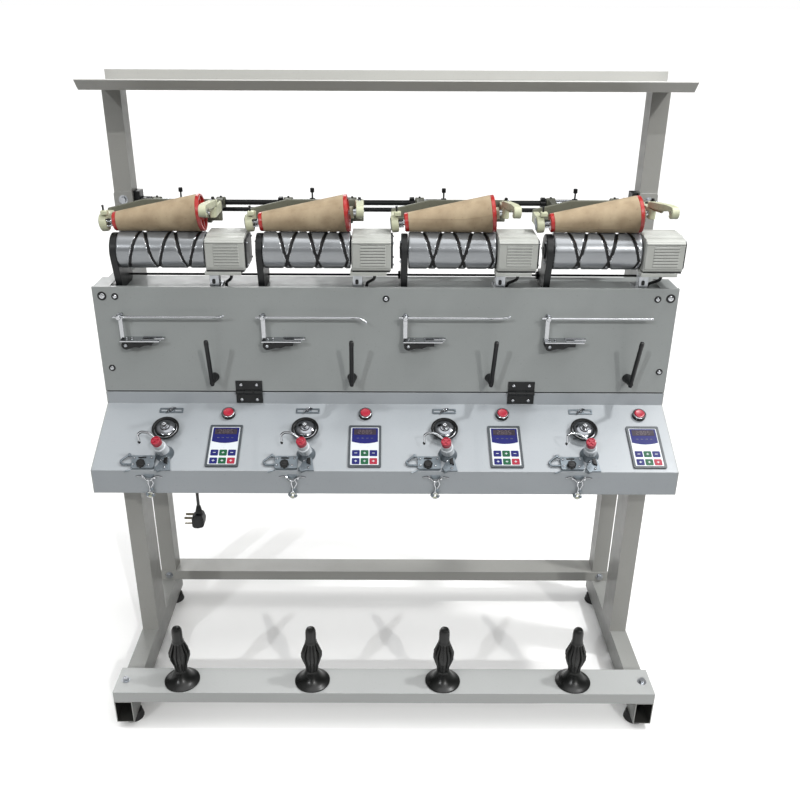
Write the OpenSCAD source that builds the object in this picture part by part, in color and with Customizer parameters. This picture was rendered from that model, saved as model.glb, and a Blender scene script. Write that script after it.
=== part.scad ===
// Four-head yarn cone winder on a floor stand.
// The origin is on the floor at the middle of the machine; +Z is up and the
// operator stands at -Y. All lengths are millimetres, all angles degrees.

/* [Overall] */
// Overall width of the machine
machine_w = 1230; // [1120:10:1400]
// Overall depth of the stand along the floor
machine_d = 520; // [490:5:600]
// Overall height to the top of the tray's back edge
machine_h = 1395; // [1360:5:1600]
// Thickness of the folded steel sheets
sheet_t = 2; // [1.5:0.1:3]
// Gap kept between parts that move past each other
gap = 0.5; // [0.3:0.05:0.8]

/* [Stand] */
// Width of every stand tube, across the machine
tube_w = 40; // [30:1:45]
// Wall of the stand tubes
tube_wall = 2; // [1.5:0.1:3]
// Height of the skid tubes
skid_h = 60; // [45:1:70]
// Height of the rubber feet
foot_h = 18; // [12:1:30]
// Diameter of the rubber feet
foot_d = 48; // [36:1:50]
// Distance of the feet from the skids' ends
foot_inset = 40; // [32:1:60]
// Depth of the front posts
front_post_d = 80; // [60:2:90]
// Front face of the front posts, measured from the front edge
front_post_y = 250; // [245:1:262]
// Depth of the rear posts
rear_post_d = 46; // [40:1:50]
// Distance of the rear posts' back from the stand's back edge
rear_post_inset = 10; // [6:1:14]
// Depth of the front board that carries the cone holders
board_d = 80; // [80:1:110]
// Depth of the rear cross channel
channel_d = 58; // [50:1:60]
// Height of the board and of the cross channel
channel_h = 28; // [20:1:40]
// Height of the top of the front posts
beam_z = 925; // [900:1:930]
// Depth of the beam that carries the heads
beam_d = 80; // [70:1:90]
// Height of the beam that carries the heads
beam_h = 50; // [40:1:50]
// Height of the joint between rear and upper posts
joint_z = 1122; // [1115:1:1150]

/* [Tray] */
// Depth of the tray's floor
tray_d = 189; // [150:1:230]
// Height of the tray's upright back edge
tray_back_h = 27; // [15:1:45]
// Rise and reach of the tray's sloping front lip
tray_lip = 20; // [12:1:30]

/* [Console] */
// Front face of the console, measured from the front edge
console_y = 77; // [60:1:90]
// Lower edge of the console's front face
console_z = 584; // [540:1:600]
// Height of the console's front face
console_front_h = 54; // [40:1:70]
// Depth of the sloping top
slope_d = 159; // [150:1:165]
// Rise of the sloping top
slope_rise = 81; // [70:1:88]
// Height of the upright strip behind the sloping top
strip_h = 28; // [26:1:36]
// Height of the hinged front panel
panel_h = 237; // [225:1:240]
// Depth of the end plates behind the front panel
end_plate_d = 80; // [70:1:90]
// Width of the flange along the top of each end plate
end_flange = 34; // [20:1:35]

/* [Panel hinges] */
// Distance between the two hinges
hinge_pitch = 598; // [560:2:640]
// Width of a hinge
hinge_w = 58; // [50:2:64]
// Height of a hinge leaf
hinge_leaf_h = 26; // [20:1:26]
// Radius of the hinge knuckles
knuckle_r = 4.5; // [4:0.1:4.6]
// Diameter of the hinge pins
hinge_pin_d = 4; // [3:0.5:5]

/* [Heads] */
// Width at each end of the machine outside the heads' bays
end_margin = 15; // [12:1:20]
// Diameter of the grooved drum
drum_d = 76; // [74:1:80]
// Length of the grooved drum
drum_len = 180; // [176:1:182]
// Left end of the drum from the middle of its head
drum_left = 103; // [102:1:105]
// Height of the drum's axis
drum_z = 1058; // [1054:1:1062]
// Drum's axis, behind the middle of the stand
drum_y = 10; // [6:1:14]
// Diameter of the drum's shaft ends
drum_shaft_d = 16; // [12:1:20]
// Thickness of the drum's left bracket
bracket_t = 14; // [10:1:14]
// Depth of the motor housing
motor_d = 86; // [80:1:88]
// Height of the motor housing
motor_h = 67; // [62:1:70]
// Clearance between a motor's cap and the next head's bracket
bay_gap = 17; // [14:1:24]
// Length of the cap on the motor's end
motor_cap = 8; // [5:1:8]
// Diameter of the rod that ties the heads together
tie_rod_d = 5; // [4:0.5:8]

/* [Cone and cradle] */
// Length of the paper cone
cone_len = 170; // [165:1:172]
// Diameter of the paper cone's small end
cone_small_d = 40; // [38:1:44]
// Half angle of the paper cone
cone_angle = 6; // [5:0.5:6.5]
// Wall of the paper cone
cone_wall = 2; // [1.5:0.1:3]
// Small end of the paper cone from the middle of its head
cone_left = 103; // [102:1:105]
// Distance of the cone's axis behind the drum's axis
cone_back = 5; // [2:1:8]
// Diameter of the shaft that the cradles turn on
cradle_shaft_d = 12; // [10:1:14]
// Distance of the cradle shaft behind the middle of the stand
cradle_y = 226; // [222:1:230]
// Height of the cradle shaft
cradle_z = 1112; // [1108:1:1116]
// Thickness of the cradle's arms
cradle_arm_t = 14; // [10:1:14]
// Reach of a release handle in front of its pivot
handle_len = 140; // [124:2:150]

/* [Yarn path] */
// Distance from one cone holder to the next
holder_pitch = 300; // [280:2:306]
// Diameter of the cone holder's dished base
holder_d = 80; // [70:1:80]
// Height of a cone holder
holder_h = 152; // [140:1:165]
// Length of the feeler rod
feeler_len = 228; // [200:1:232]
// Diameter of the feeler rod
feeler_d = 4; // [3:0.5:5]
// Length of the start lever
lever_len = 118; // [106:1:122]
// Diameter of the start lever's rod
lever_d = 9.5; // [8:0.5:11]
// Diameter of the tension discs
disc_d = 58; // [50:1:60]

/* [Controls] */
// Width of the keypad
pad_w = 70; // [60:1:74]
// Height of the keypad
pad_h = 108; // [96:1:112]
// Diameter of the push button's cap
button_d = 22; // [18:1:24]
// Travel of the push button
button_travel = 3; // [2:0.5:4]
// Diameter of the power cord
cord_d = 7; // [6.5:0.1:7.2]

/* [Hidden] */
$fn = 48;

eps = 0.01;
run_gap = 0.05;
heads = [1, 2, 3, 4];

// colours
frame_grey = [0.72, 0.73, 0.74];
top_grey = [0.80, 0.82, 0.84];
cast_cream = [0.80, 0.80, 0.74];
black = [0.10, 0.10, 0.11];
chrome = [0.78, 0.79, 0.80];
red = [0.80, 0.12, 0.12];
paper = [0.72, 0.62, 0.48];

// stand
front_y = -machine_d / 2;
back_y = machine_d / 2;
side_x = machine_w / 2;
skid_top = foot_h + skid_h;
deck_z = skid_top + channel_h;
tube_x = side_x - sheet_t - tube_w / 2;
skid_x = side_x - tube_w / 2;
front_post = front_y + front_post_y;
rear_post = back_y - rear_post_inset - rear_post_d;
channel_y = rear_post - sheet_t;
tray_z = machine_h - tray_back_h;
tray_back = back_y - rear_post_inset;
beam_y = front_post + 30;
beam_top = beam_z + beam_h;
foot_x = side_x - sheet_t - foot_d / 2;

// console and panel
console_front = front_y + console_y;
slope_z = console_z + console_front_h;
slope_angle = atan2(slope_rise, slope_d);
slope_len = sqrt(slope_rise * slope_rise + slope_d * slope_d);
panel_y = console_front + slope_d;
strip_z = slope_z + slope_rise;
seam_z = strip_z + strip_h;
seam_gap = 3;
panel_z = seam_z + seam_gap;
panel_top = panel_z + panel_h;
hinge_y = panel_y - 5;
hinge_z = seam_z + seam_gap / 2;
cover_w = machine_w - 2 * sheet_t;

// heads: the motor fills what the drum and the next head's bracket leave of a bay
head_pitch = (machine_w - 2 * end_margin) / len(heads);
drum_r = drum_d / 2;
drum_right = drum_len - drum_left;
bracket_right = -drum_left - 1;
motor_left = drum_right + 4;
motor_right = head_pitch + bracket_right - bracket_t - bay_gap - motor_cap;
shaft_r = drum_shaft_d / 2;

// cone, held so that its lowest line is level and just clear of the drum
cone_small_r = cone_small_d / 2;
cone_big_r = cone_small_r + cone_len * tan(cone_angle);
cone_mid_r = (cone_small_r + cone_big_r) / 2;
cone_y = drum_y + cone_back;
cone_rise = sqrt(pow(drum_r + cone_mid_r + gap, 2) - pow(cone_back, 2));
cone_z = drum_z + cone_rise - (cone_mid_r - cone_small_r) * cos(cone_angle);
chuck_flange = 8;
chuck_stub = 20;
boss_t = 16;
arm_half = 11;
yoke_y = cone_y + cone_big_r + 14;
hub_r = cradle_shaft_d / 2 + 6;
tie_y = drum_y + 52;
boss_r = 15;
tie_z = beam_top + boss_r;
right_arm_x = -cone_left + (cone_len + chuck_flange) * cos(cone_angle) + 15;
right_arm_z = cone_z + (cone_len + chuck_flange + 20) * sin(cone_angle);
boss_left = -cone_left - (chuck_flange + 12) * cos(cone_angle) - boss_t;
handle_x = right_arm_x + cradle_arm_t / 2;
handle_z = right_arm_z + arm_half + gap;
// turn of the release handles at rest, seen from above
handle_turn = -88;
handle_h = 12;
handle_w = 15;
handle_rise = 17;
grip_r = 12;
pivot_deep = 4;

// yarn path
holder_shift = -15;
holder_y = front_y + board_d / 2;
feeler_x = -108;
feeler_z = panel_z + 178;
feeler_y = panel_y - 22;
shelf_z = feeler_z - 51;
shelf_d = 28;
lever_x = 78;
lever_z = panel_z + 35;
// the lever's stub stands out of the panel; its rod leans out and to the right
lever_out = 35;
lever_lean = 1;
lever_tilt = 18;
lever_stub_r = 4;
tension_x = -22;

// controls
pad_x = 107;
pad_s = 63;
pad_t = 4;
button_s = 148;
button_r = button_d / 2;
collar_h = 8;

// power cord, from the gland inside the console to the plug below it
box_left = -212;
box_w = 260;
box_y = -112;
box_d = 84;
box_h = 50;
floor_z = console_z + sheet_t;
gland_len = 24;
hank_x = -327.5;
hank_y = -104;
hank_run = 105;
hank_r = 24;
hank_turns = 2;
hank_layers = 2;
gland_y = hank_y + hank_r + (hank_turns - 1) * cord_d;
gland_z = floor_z + 1.5 * cord_d;
cord_x = -428;
cord_y = -60;
plug_z = 478;
lead_in = [[-236, -73, 596.5], [-242, -73, 596.5], [-248, -73, 596.5], [-254, -73, 596.5],
    [-262, -73, 596.5]];
lead_out = [[-291, -73, 589.5], [-297, -72.5, 589.5], [-303, -71.5, 589.5],
    [-309, -69.5, 589.5], [-315, -67.5, 589.5], [-321, -66, 589.5], [-327, -65, 590],
    [-334, -64, 591.5], [-342, -63, 594.5], [-350, -62, 599], [-357, -61, 604.5],
    [-363, -60.5, 610], [-369, -60, 615.5], [-376, -60, 621], [-384, -60, 625],
    [-393, -60, 626.5], [-402, -60, 625.5], [-410, -60, 622.5], [-417, -60, 617],
    [-423, -60, 610], [-426.5, -60, 602], [-428, -60, 593], [-428, -60, 584],
    [-428, -60, 566], [-428, -60, 548], [-428, -60, 530], [-428, -60, 512],
    [-428, -60, 496], [-428, -60, 478]];

function head_x(i) = (i - 2.5) * head_pitch;
function holder_x(i) = (i - 2.5) * holder_pitch + holder_shift;

// ---------- helpers ----------

// moves its children to the middle of head i
module at_head(i) {
    translate([head_x(i), 0, 0]) children();
}

// repeats its children on the left and on the right side
module both_sides() {
    for (side = [-1, 1]) scale_side(side) children();
}

module scale_side(side) {
    if (side < 0) mirror([1, 0, 0]) children();
    else children();
}

// a block from its lowest to its highest corner
module block(low, high) {
    translate(low) cube([high[0] - low[0], high[1] - low[1], high[2] - low[2]]);
}

// a rectangular tube standing on z = 0
module post_tube(w, d, h) {
    difference() {
        translate([-w / 2, 0, 0]) cube([w, d, h]);
        translate([-w / 2 + tube_wall, tube_wall, -1])
            cube([w - 2 * tube_wall, d - 2 * tube_wall, h + 2]);
    }
}

// a cylinder along X from x0 to x1
module rod_x(x0, x1, r) {
    translate([x0, 0, 0]) rotate([0, 90, 0]) cylinder(h = x1 - x0, r = r);
}

// a cylinder along Y from y0 to y1
module rod_y(y0, y1, r) {
    translate([0, y1, 0]) rotate([90, 0, 0]) cylinder(h = y1 - y0, r = r);
}

// a flat outline drawn in (y, z), as thick as x1 - x0
module side_plate(x0, x1) {
    translate([x0, 0, 0]) rotate([90, 0, 90]) linear_extrude(x1 - x0) children();
}

// a flat outline drawn in (x, z), from y0 back to y1
module front_plate(y0, y1) {
    translate([0, y1, 0]) rotate([90, 0, 0]) linear_extrude(y1 - y0) children();
}

// moves its children onto the console's slope, s up from its front edge
module on_slope(x, s) {
    translate([x, console_front, slope_z]) rotate([slope_angle, 0, 0])
        translate([0, s, 0]) children();
}

// moves its children into the frame of a cone: x runs along its axis
module cone_frame() {
    translate([-cone_left, cone_y, cone_z]) rotate([0, -cone_angle, 0]) children();
}

// a hexagonal bolt head with its washer
module bolt_head(r) {
    cylinder(h = 1.2, r = r * 1.7);
    cylinder(h = 1.2 + r * 1.1, r = r * 1.1, $fn = 6);
}

// ---------- stand ----------

module skids() {
    color(frame_grey) both_sides() translate([skid_x, front_y, foot_h])
        rotate([-90, 0, 0]) mirror([0, 1, 0]) post_tube(tube_w, skid_h, machine_d);
}

module rubber_feet() {
    color(black) both_sides() for (y = [front_y + foot_inset, back_y - foot_inset])
        translate([foot_x, y, 0]) cylinder(h = foot_h, r1 = foot_d / 2, r2 = foot_d / 2 - 4);
}

module front_posts() {
    color(frame_grey) both_sides() translate([tube_x, front_post, skid_top])
        post_tube(tube_w, front_post_d, beam_z - skid_top);
}

module rear_posts() {
    color(frame_grey) both_sides() translate([tube_x, rear_post, deck_z])
        post_tube(tube_w, rear_post_d, joint_z - deck_z);
}

module upper_posts() {
    color(frame_grey) both_sides() {
        translate([tube_x, rear_post, joint_z])
            post_tube(tube_w, rear_post_d, tray_z - joint_z);
        joint_plate();
    }
}

// plate that laps the joint between a rear post and its upper post
module joint_plate() {
    plate_w = tube_w + 2;
    translate([tube_x, rear_post, joint_z]) rotate([90, 0, 0]) linear_extrude(3) hull()
        for (x = [-1, 1], z = [-1, 1])
            translate([x * (plate_w / 2 - 6), z * 12]) circle(r = 6, $fn = 24);
}

// an inverted channel along X, with its front at y = 0 and its top at z = 0
module folded_channel(w, d, h) {
    translate([-w / 2, 0, -sheet_t]) cube([w, d, sheet_t]);
    for (y = [0, d - sheet_t]) translate([-w / 2, y, -h]) cube([w, sheet_t, h]);
}

module bobbin_board() {
    color(top_grey) difference() {
        translate([0, front_y, deck_z]) folded_channel(machine_w, board_d, channel_h);
        for (i = heads) translate([holder_x(i), holder_y, deck_z - 5])
            cylinder(h = 10, r = 4.2);
    }
}

module rear_channel() {
    color(frame_grey) translate([0, channel_y, deck_z])
        folded_channel(machine_w, channel_d, channel_h);
}

module top_tray() {
    front = tray_back - tray_d;
    color(frame_grey) {
        block([-side_x, front, tray_z], [side_x, tray_back, tray_z + sheet_t]);
        block([-side_x, tray_back - sheet_t, tray_z], [side_x, tray_back, machine_h]);
        side_plate(-side_x, side_x) polygon([[front + sheet_t, tray_z],
            [front + sheet_t, tray_z + sheet_t], [front - tray_lip + sheet_t,
            tray_z + tray_lip + sheet_t], [front - tray_lip, tray_z + tray_lip],
            [front, tray_z]]);
    }
}

module head_frame() {
    color(frame_grey) {
        translate([0, beam_y, beam_z]) rotate([0, 90, 0]) rotate([0, 0, 90])
            translate([0, 0, -tube_x - tube_w / 2]) difference() {
                cube([beam_d, beam_h, 2 * tube_x + tube_w]);
                translate([tube_wall, tube_wall, -1])
                    cube([beam_d - 2 * tube_wall, beam_h - 2 * tube_wall,
                        2 * tube_x + tube_w + 2]);
            }
        both_sides() translate([tube_x, beam_y + beam_d, beam_z]) rotate([-90, 0, 0])
            mirror([0, 1, 0]) post_tube(tube_w, beam_h, rear_post - beam_y - beam_d);
    }
}

module frame_bolts() {
    color(chrome) both_sides() {
        translate([skid_x, front_y + board_d / 2, deck_z]) bolt_head(6);
        translate([tube_x, rear_post - 3, joint_z]) rotate([90, 0, 0]) bolt_head(6);
        translate([tube_x, channel_y, deck_z - channel_h / 2]) rotate([90, 0, 0])
            bolt_head(6);
    }
}

// ---------- console ----------

// outline of the console's side, drawn in (y, z)
module console_side() {
    polygon([[console_front, console_z], [console_front, slope_z], [panel_y, strip_z],
        [panel_y, seam_z], [panel_y + sheet_t + gap, seam_z + gap],
        [panel_y + sheet_t + gap, panel_top - sheet_t - gap],
        [panel_y + end_plate_d, panel_top - sheet_t - gap],
        [panel_y + end_plate_d, console_z]]);
}

module end_plates() {
    top = panel_top - sheet_t - gap;
    color(frame_grey) both_sides() {
        side_plate(side_x - sheet_t, side_x) console_side();
        block([side_x - end_flange, panel_y + sheet_t + gap, top - sheet_t],
            [side_x - sheet_t / 2, panel_y + end_plate_d, top]);
    }
}

module console_cover() {
    half = cover_w / 2;
    grommet_r = cord_d / 2 + 3;
    color(top_grey) difference() {
        union() {
            side_plate(-half, half) polygon([[console_front, console_z],
                [console_front, slope_z], [panel_y, strip_z], [panel_y, seam_z],
                [panel_y + sheet_t, seam_z], [panel_y + sheet_t, strip_z - sheet_t],
                [console_front + sheet_t, slope_z - sheet_t],
                [console_front + sheet_t, floor_z], [front_post - 2, floor_z],
                [front_post - 2, console_z]]);
        }
        for (i = heads) {
            on_slope(head_x(i) + pad_x, button_s)
                cylinder(h = 20, r = button_r + 2, center = true);
            on_slope(head_x(i) + pad_x, pad_s)
                cube([pad_w - 16, pad_h - 16, 20], center = true);
            on_slope(head_x(i) + tension_x, 102) cylinder(h = 20, r = 4, center = true);
        }
        translate([cord_x, cord_y, console_z - 1]) cylinder(h = sheet_t + 2, r = grommet_r);
    }
}

module front_panel() {
    color(frame_grey) difference() {
        union() {
            block([-side_x, panel_y, panel_z], [side_x, panel_y + sheet_t, panel_top]);
            block([-side_x, panel_y, panel_top - sheet_t],
                [side_x, panel_y + sheet_t + 6, panel_top]);
        }
        for (i = heads) translate([head_x(i) + lever_x, 0, lever_z])
            rod_y(panel_y - 1, panel_y + sheet_t + 1, lever_stub_r + run_gap);
    }
}

// the knuckles of one hinge between x0 and x1
module knuckle(x0, x1) {
    translate([0, hinge_y, hinge_z]) rod_x(x0, x1, knuckle_r);
}

// a hinge leaf that lies on the panel or on the strip below it
module leaf(z0, z1) {
    block([-hinge_w / 2, hinge_y + 2, z0], [hinge_w / 2, panel_y, z1]);
}

module hinges() {
    for (x = [-hinge_pitch / 2, hinge_pitch / 2]) translate([x, 0, 0]) children();
}

module lower_hinge_leaves() {
    mid = hinge_w / 6;
    color(black) hinges() {
        difference() {
            leaf(hinge_z - hinge_leaf_h, hinge_z);
            for (side = [-1, 1]) translate([side * hinge_w / 3, hinge_y, hinge_z])
                cube([hinge_w / 3 + 2 * gap, 20, 2 * knuckle_r + 2 * gap], center = true);
        }
        knuckle(-mid, mid);
        translate([0, hinge_y, hinge_z])
            rod_x(-hinge_w / 2, hinge_w / 2, hinge_pin_d / 2);
    }
}

module upper_hinge_leaves() {
    mid = hinge_w / 6 + gap;
    color(black) hinges() difference() {
        union() {
            difference() {
                leaf(hinge_z, hinge_z + hinge_leaf_h);
                translate([0, hinge_y, hinge_z])
                    cube([2 * mid, 20, 2 * knuckle_r + 2 * gap], center = true);
            }
            knuckle(-hinge_w / 2, -mid);
            knuckle(mid, hinge_w / 2);
        }
        translate([0, hinge_y, hinge_z])
            rod_x(-hinge_w, hinge_w, hinge_pin_d / 2 + run_gap);
        block([-hinge_w, hinge_y - 20, hinge_z - 20],
            [hinge_w, hinge_y + 20, hinge_z - knuckle_r - 1]);
    }
}

module control_box() {
    color(frame_grey) difference() {
        block([box_left, box_y, floor_z], [box_left + box_w, box_y + box_d, floor_z + box_h]);
        block([box_left + 3, box_y + 3, floor_z + 3],
            [box_left + box_w - 3, box_y + box_d - 3, floor_z + box_h - 3]);
    }
}

// ---------- heads ----------

// a drum with crossing grooves, made as tilted rings cut into a plain roll
module drum(i) {
    steps = [-60, -20, 20, 60];
    color(chrome) at_head(i) translate([0, drum_y, drum_z]) {
        difference() {
            rod_x(-drum_left, drum_right, drum_r);
            for (k = [0:3]) translate([(drum_right - drum_left) / 2 + steps[k], 0, 0])
                rotate([0, (k % 2 == 0 ? 28 : -28), 0]) rotate([0, 90, 0])
                    rotate_extrude() translate([drum_r - 2.5, -2.5]) square([30, 5]);
        }
        rod_x(-drum_left - bracket_t - 1, -drum_left + eps, shaft_r);
        rod_x(drum_right - eps, motor_left + 20, shaft_r);
    }
}

// side view of the plate that carries a drum's left end
module bracket_outline() {
    foot_z = beam_top + 30;
    translate([drum_y, drum_z]) circle(r = drum_r - 3);
    translate([tie_y, tie_z]) circle(r = boss_r);
    polygon([[drum_y - drum_r + 6, drum_z], [drum_y - drum_r + 22, beam_top],
        [tie_y, beam_top], [tie_y, foot_z], [drum_y + 22, foot_z], [drum_y + 26, drum_z]]);
}

module drum_brackets() {
    color(black) for (i = heads) at_head(i) difference() {
        side_plate(bracket_right - bracket_t, bracket_right) bracket_outline();
        translate([0, drum_y, drum_z]) rod_x(-drum_left - 40, -drum_left, shaft_r + run_gap);
        translate([0, tie_y, tie_z]) rod_x(-drum_left - 40, -drum_left, tie_rod_d / 2);
    }
}

module motor_housings() {
    front = drum_y - motor_d / 2;
    back = drum_y + motor_d / 2;
    low = drum_z - motor_h / 2;
    top = drum_z + motor_h / 2;
    for (i = heads) at_head(i) {
        color(cast_cream) difference() {
            block([motor_left, front, low], [motor_right, back, top]);
            // panel sunk into the front, step above the foot and ribs along the top
            block([motor_left + 13, front - 1, low + 15],
                [motor_right - 9, front + 2, top - 9]);
            block([motor_left - 1, front - 1, low - 1], [motor_right + 1, front + 3, low + 7]);
            for (y = [front + 10, front + 26, front + 42, back - 22])
                block([motor_left - 1, y, top - 2], [motor_right + 1, y + 4, top + 1]);
            translate([0, drum_y, drum_z]) rod_x(motor_left - 1, motor_left + 22,
                shaft_r + run_gap);
        }
        color(black) block([motor_right, front + 6, low + 4],
            [motor_right + motor_cap, back - 6, top - 4]);
        color(chrome) {
            block([motor_left, drum_y - 22, beam_top], [motor_left + 20, drum_y, low]);
            block([motor_left, drum_y - 22, beam_top],
                [motor_left + 20, beam_y + 30, beam_top + 4]);
        }
    }
}

// the cradles' shaft, the rail they rest on and the rod that ties the heads together
module head_rods() {
    rail_y = cradle_y + 14;
    rail_z = cradle_z - 19;
    inner = tube_x - tube_w / 2;
    color(black) {
        translate([0, cradle_y, cradle_z]) rod_x(-inner, inner, cradle_shaft_d / 2);
        translate([0, rail_y, rail_z]) rod_x(-inner, inner, 5);
        translate([0, tie_y, tie_z]) rod_x(head_x(1) + bracket_right - bracket_t,
            head_x(4) + motor_left + 20, tie_rod_d / 2);
        both_sides() {
            block([inner - 14, cradle_y - 12, rail_z - 8], [inner, rail_y + 6, cradle_z + 26]);
            block([inner - 26, cradle_y - 9, rail_z - 6], [inner, rail_y + 4, cradle_z + 10]);
        }
    }
}

// the casting that holds a cone and swings on the cradle shaft
module cradle(i) {
    left = boss_left;
    rear_left = -80;
    rear_right = 66;
    right = right_arm_x + cradle_arm_t;
    yoke_top = right_arm_z + arm_half + 3;
    low = cone_z - arm_half;
    color(cast_cream) at_head(i) difference() {
        union() {
            // boss at the cone's small end, and the arm behind it
            cone_frame() rod_x(-chuck_flange - 12 - boss_t, -chuck_flange - 12, 21);
            block([left, cone_y, low], [left + cradle_arm_t, yoke_y + 7, low + 22]);
            // plate behind the cone
            front_plate(yoke_y, yoke_y + 7) polygon([[left, low], [right, low],
                [right, yoke_top], [left + 80, yoke_top], [left, low + 26]]);
            // arm at the cone's big end
            block([right_arm_x, cone_y - 14, right_arm_z - arm_half],
                [right, yoke_y + 7, right_arm_z + arm_half]);
            // rear arms and their hubs
            for (x = [rear_left, rear_right]) {
                block([x, yoke_y, cradle_z - arm_half],
                    [x + cradle_arm_t, cradle_y, cradle_z + arm_half]);
                translate([0, cradle_y, cradle_z])
                    rod_x(x - 3, x + cradle_arm_t + 3, hub_r);
            }
        }
        translate([0, cradle_y, cradle_z]) rod_x(-300, 300, cradle_shaft_d / 2 + run_gap);
        // seats for the chucks' stubs
        cone_frame() {
            rod_x(-chuck_flange - 12 - boss_t - 1, 0, 6 + run_gap);
            rod_x(cone_len, cone_len + 80, 6 + run_gap);
        }
        // hole for the handle's pivot
        translate([handle_x, cone_y, right_arm_z + arm_half - pivot_deep])
            cylinder(h = 40, r = 3 + run_gap);
    }
}

// a curved release handle that turns on top of the cradle's right arm
module handle(i) {
    color(cast_cream) at_head(i) translate([handle_x, cone_y, handle_z])
        rotate([0, 0, handle_turn]) {
            cylinder(h = handle_h, r = 9);
            translate([0, 0, -pivot_deep]) cylinder(h = pivot_deep + 1, r = 3);
            translate([0, handle_w / 2, 0]) rotate([90, 0, 0]) linear_extrude(handle_w)
                difference() {
                    union() {
                        polygon([[0, 0], [handle_len - grip_r, handle_rise],
                            [handle_len - grip_r, handle_rise + handle_h], [0, handle_h]]);
                        translate([handle_len - grip_r, handle_rise]) circle(r = grip_r);
                    }
                    // hollow behind the grip
                    translate([handle_len - 30, handle_rise - 13]) circle(r = 14);
                }
        }
}

module paper_cone(i) {
    color(paper) at_head(i) cone_frame() rotate([0, 90, 0]) difference() {
        cylinder(h = cone_len, r1 = cone_small_r, r2 = cone_big_r, $fn = 72);
        translate([0, 0, -eps]) cylinder(h = cone_len + 2 * eps, r1 = cone_small_r - cone_wall,
            r2 = cone_big_r - cone_wall, $fn = 72);
    }
}

// the two red plugs that grip the paper cone's ends, with their stubs
module chucks(i) {
    inner_r = cone_small_r - cone_wall - run_gap;
    taper = tan(cone_angle);
    deep = 13;
    color(red) at_head(i) cone_frame() {
        translate([-chuck_flange, 0, 0]) rotate([0, 90, 0]) cylinder(h = chuck_flange,
            r1 = cone_small_r - chuck_flange * taper, r2 = cone_small_r);
        rod_x(-chuck_flange - 24, -chuck_flange + eps, 6);
        rotate([0, 90, 0]) cylinder(h = deep, r1 = inner_r, r2 = inner_r + deep * taper);
        rod_x(cone_len, cone_len + chuck_flange, cone_big_r);
        rod_x(cone_len + chuck_flange - eps, cone_len + chuck_flange + 26, 6);
        translate([cone_len - deep, 0, 0]) rotate([0, 90, 0]) cylinder(h = deep,
            r1 = inner_r + (cone_len - deep) * taper, r2 = inner_r + cone_len * taper);
    }
}

// ---------- yarn path ----------

module cone_holders() {
    color(black) for (i = heads) translate([holder_x(i), holder_y, deck_z]) {
        rotate_extrude() polygon([[0, 0], [holder_d / 2, 0], [holder_d / 2, 4],
            [17, 26], [14, 32], [14, 46], [24, 74], [24, 84], [13, holder_h - 38],
            [12, holder_h - 34], [12, holder_h - 10], [8, holder_h - 2], [0, holder_h]]);
        translate([0, 0, -12]) cylinder(h = 13, r = 4);
    }
}

module feeler_brackets() {
    color(chrome) for (i = heads) at_head(i) {
        // upright strip behind the feeler, and the forked shelf that carries it
        block([feeler_x - 4, panel_y - 17, shelf_z - 3],
            [feeler_x + 4, panel_y - 14, feeler_z + 8]);
        difference() {
            block([feeler_x - 4, panel_y - shelf_d, shelf_z - 3],
                [feeler_x + 86, panel_y, shelf_z]);
            block([feeler_x + 42, panel_y - 17, shelf_z - 10],
                [feeler_x + 100, panel_y - 10, shelf_z + 10]);
        }
        translate([feeler_x, 0, feeler_z]) {
            rod_y(panel_y - 28, panel_y, 3);
            rod_y(panel_y - 30, panel_y - 28, 5);
        }
        color(black) translate([feeler_x + 40, 0, shelf_z - 3])
            difference() {
                rod_y(panel_y - 24, panel_y - 2, 26);
                block([-40, panel_y - 40, 0], [40, panel_y + 10, 40]);
                block([-40, panel_y - 40, -40], [40, panel_y + 10, -12]);
            }
    }
}

module feeler(i) {
    color(chrome) at_head(i) translate([feeler_x, feeler_y, feeler_z]) {
        difference() {
            union() {
                rod_y(-4, 4, 5);
                rod_x(-10, feeler_len - 10, feeler_d / 2);
                translate([feeler_len - 12, 0, 0]) rotate([0, 60, 0])
                    cylinder(h = 12, r = feeler_d / 2);
            }
            rod_y(-10, 10, 3 + run_gap);
        }
    }
}

module lever(i) {
    color(black) at_head(i) translate([lever_x, 0, lever_z]) {
        translate([0, panel_y - gap, 0]) rotate([90, 0, 0])
            cylinder(h = lever_out - gap, r1 = 9.5, r2 = lever_d / 2 + 0.5);
        rod_y(panel_y - gap - eps, panel_y + 14, lever_stub_r);
        translate([0, panel_y - lever_out, 0]) rotate([lever_tilt, lever_lean, 0]) {
            translate([0, 0, -8]) cylinder(h = lever_len, r = lever_d / 2);
            translate([0, 0, lever_len - 8]) sphere(r = lever_d / 2);
        }
    }
}

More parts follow.
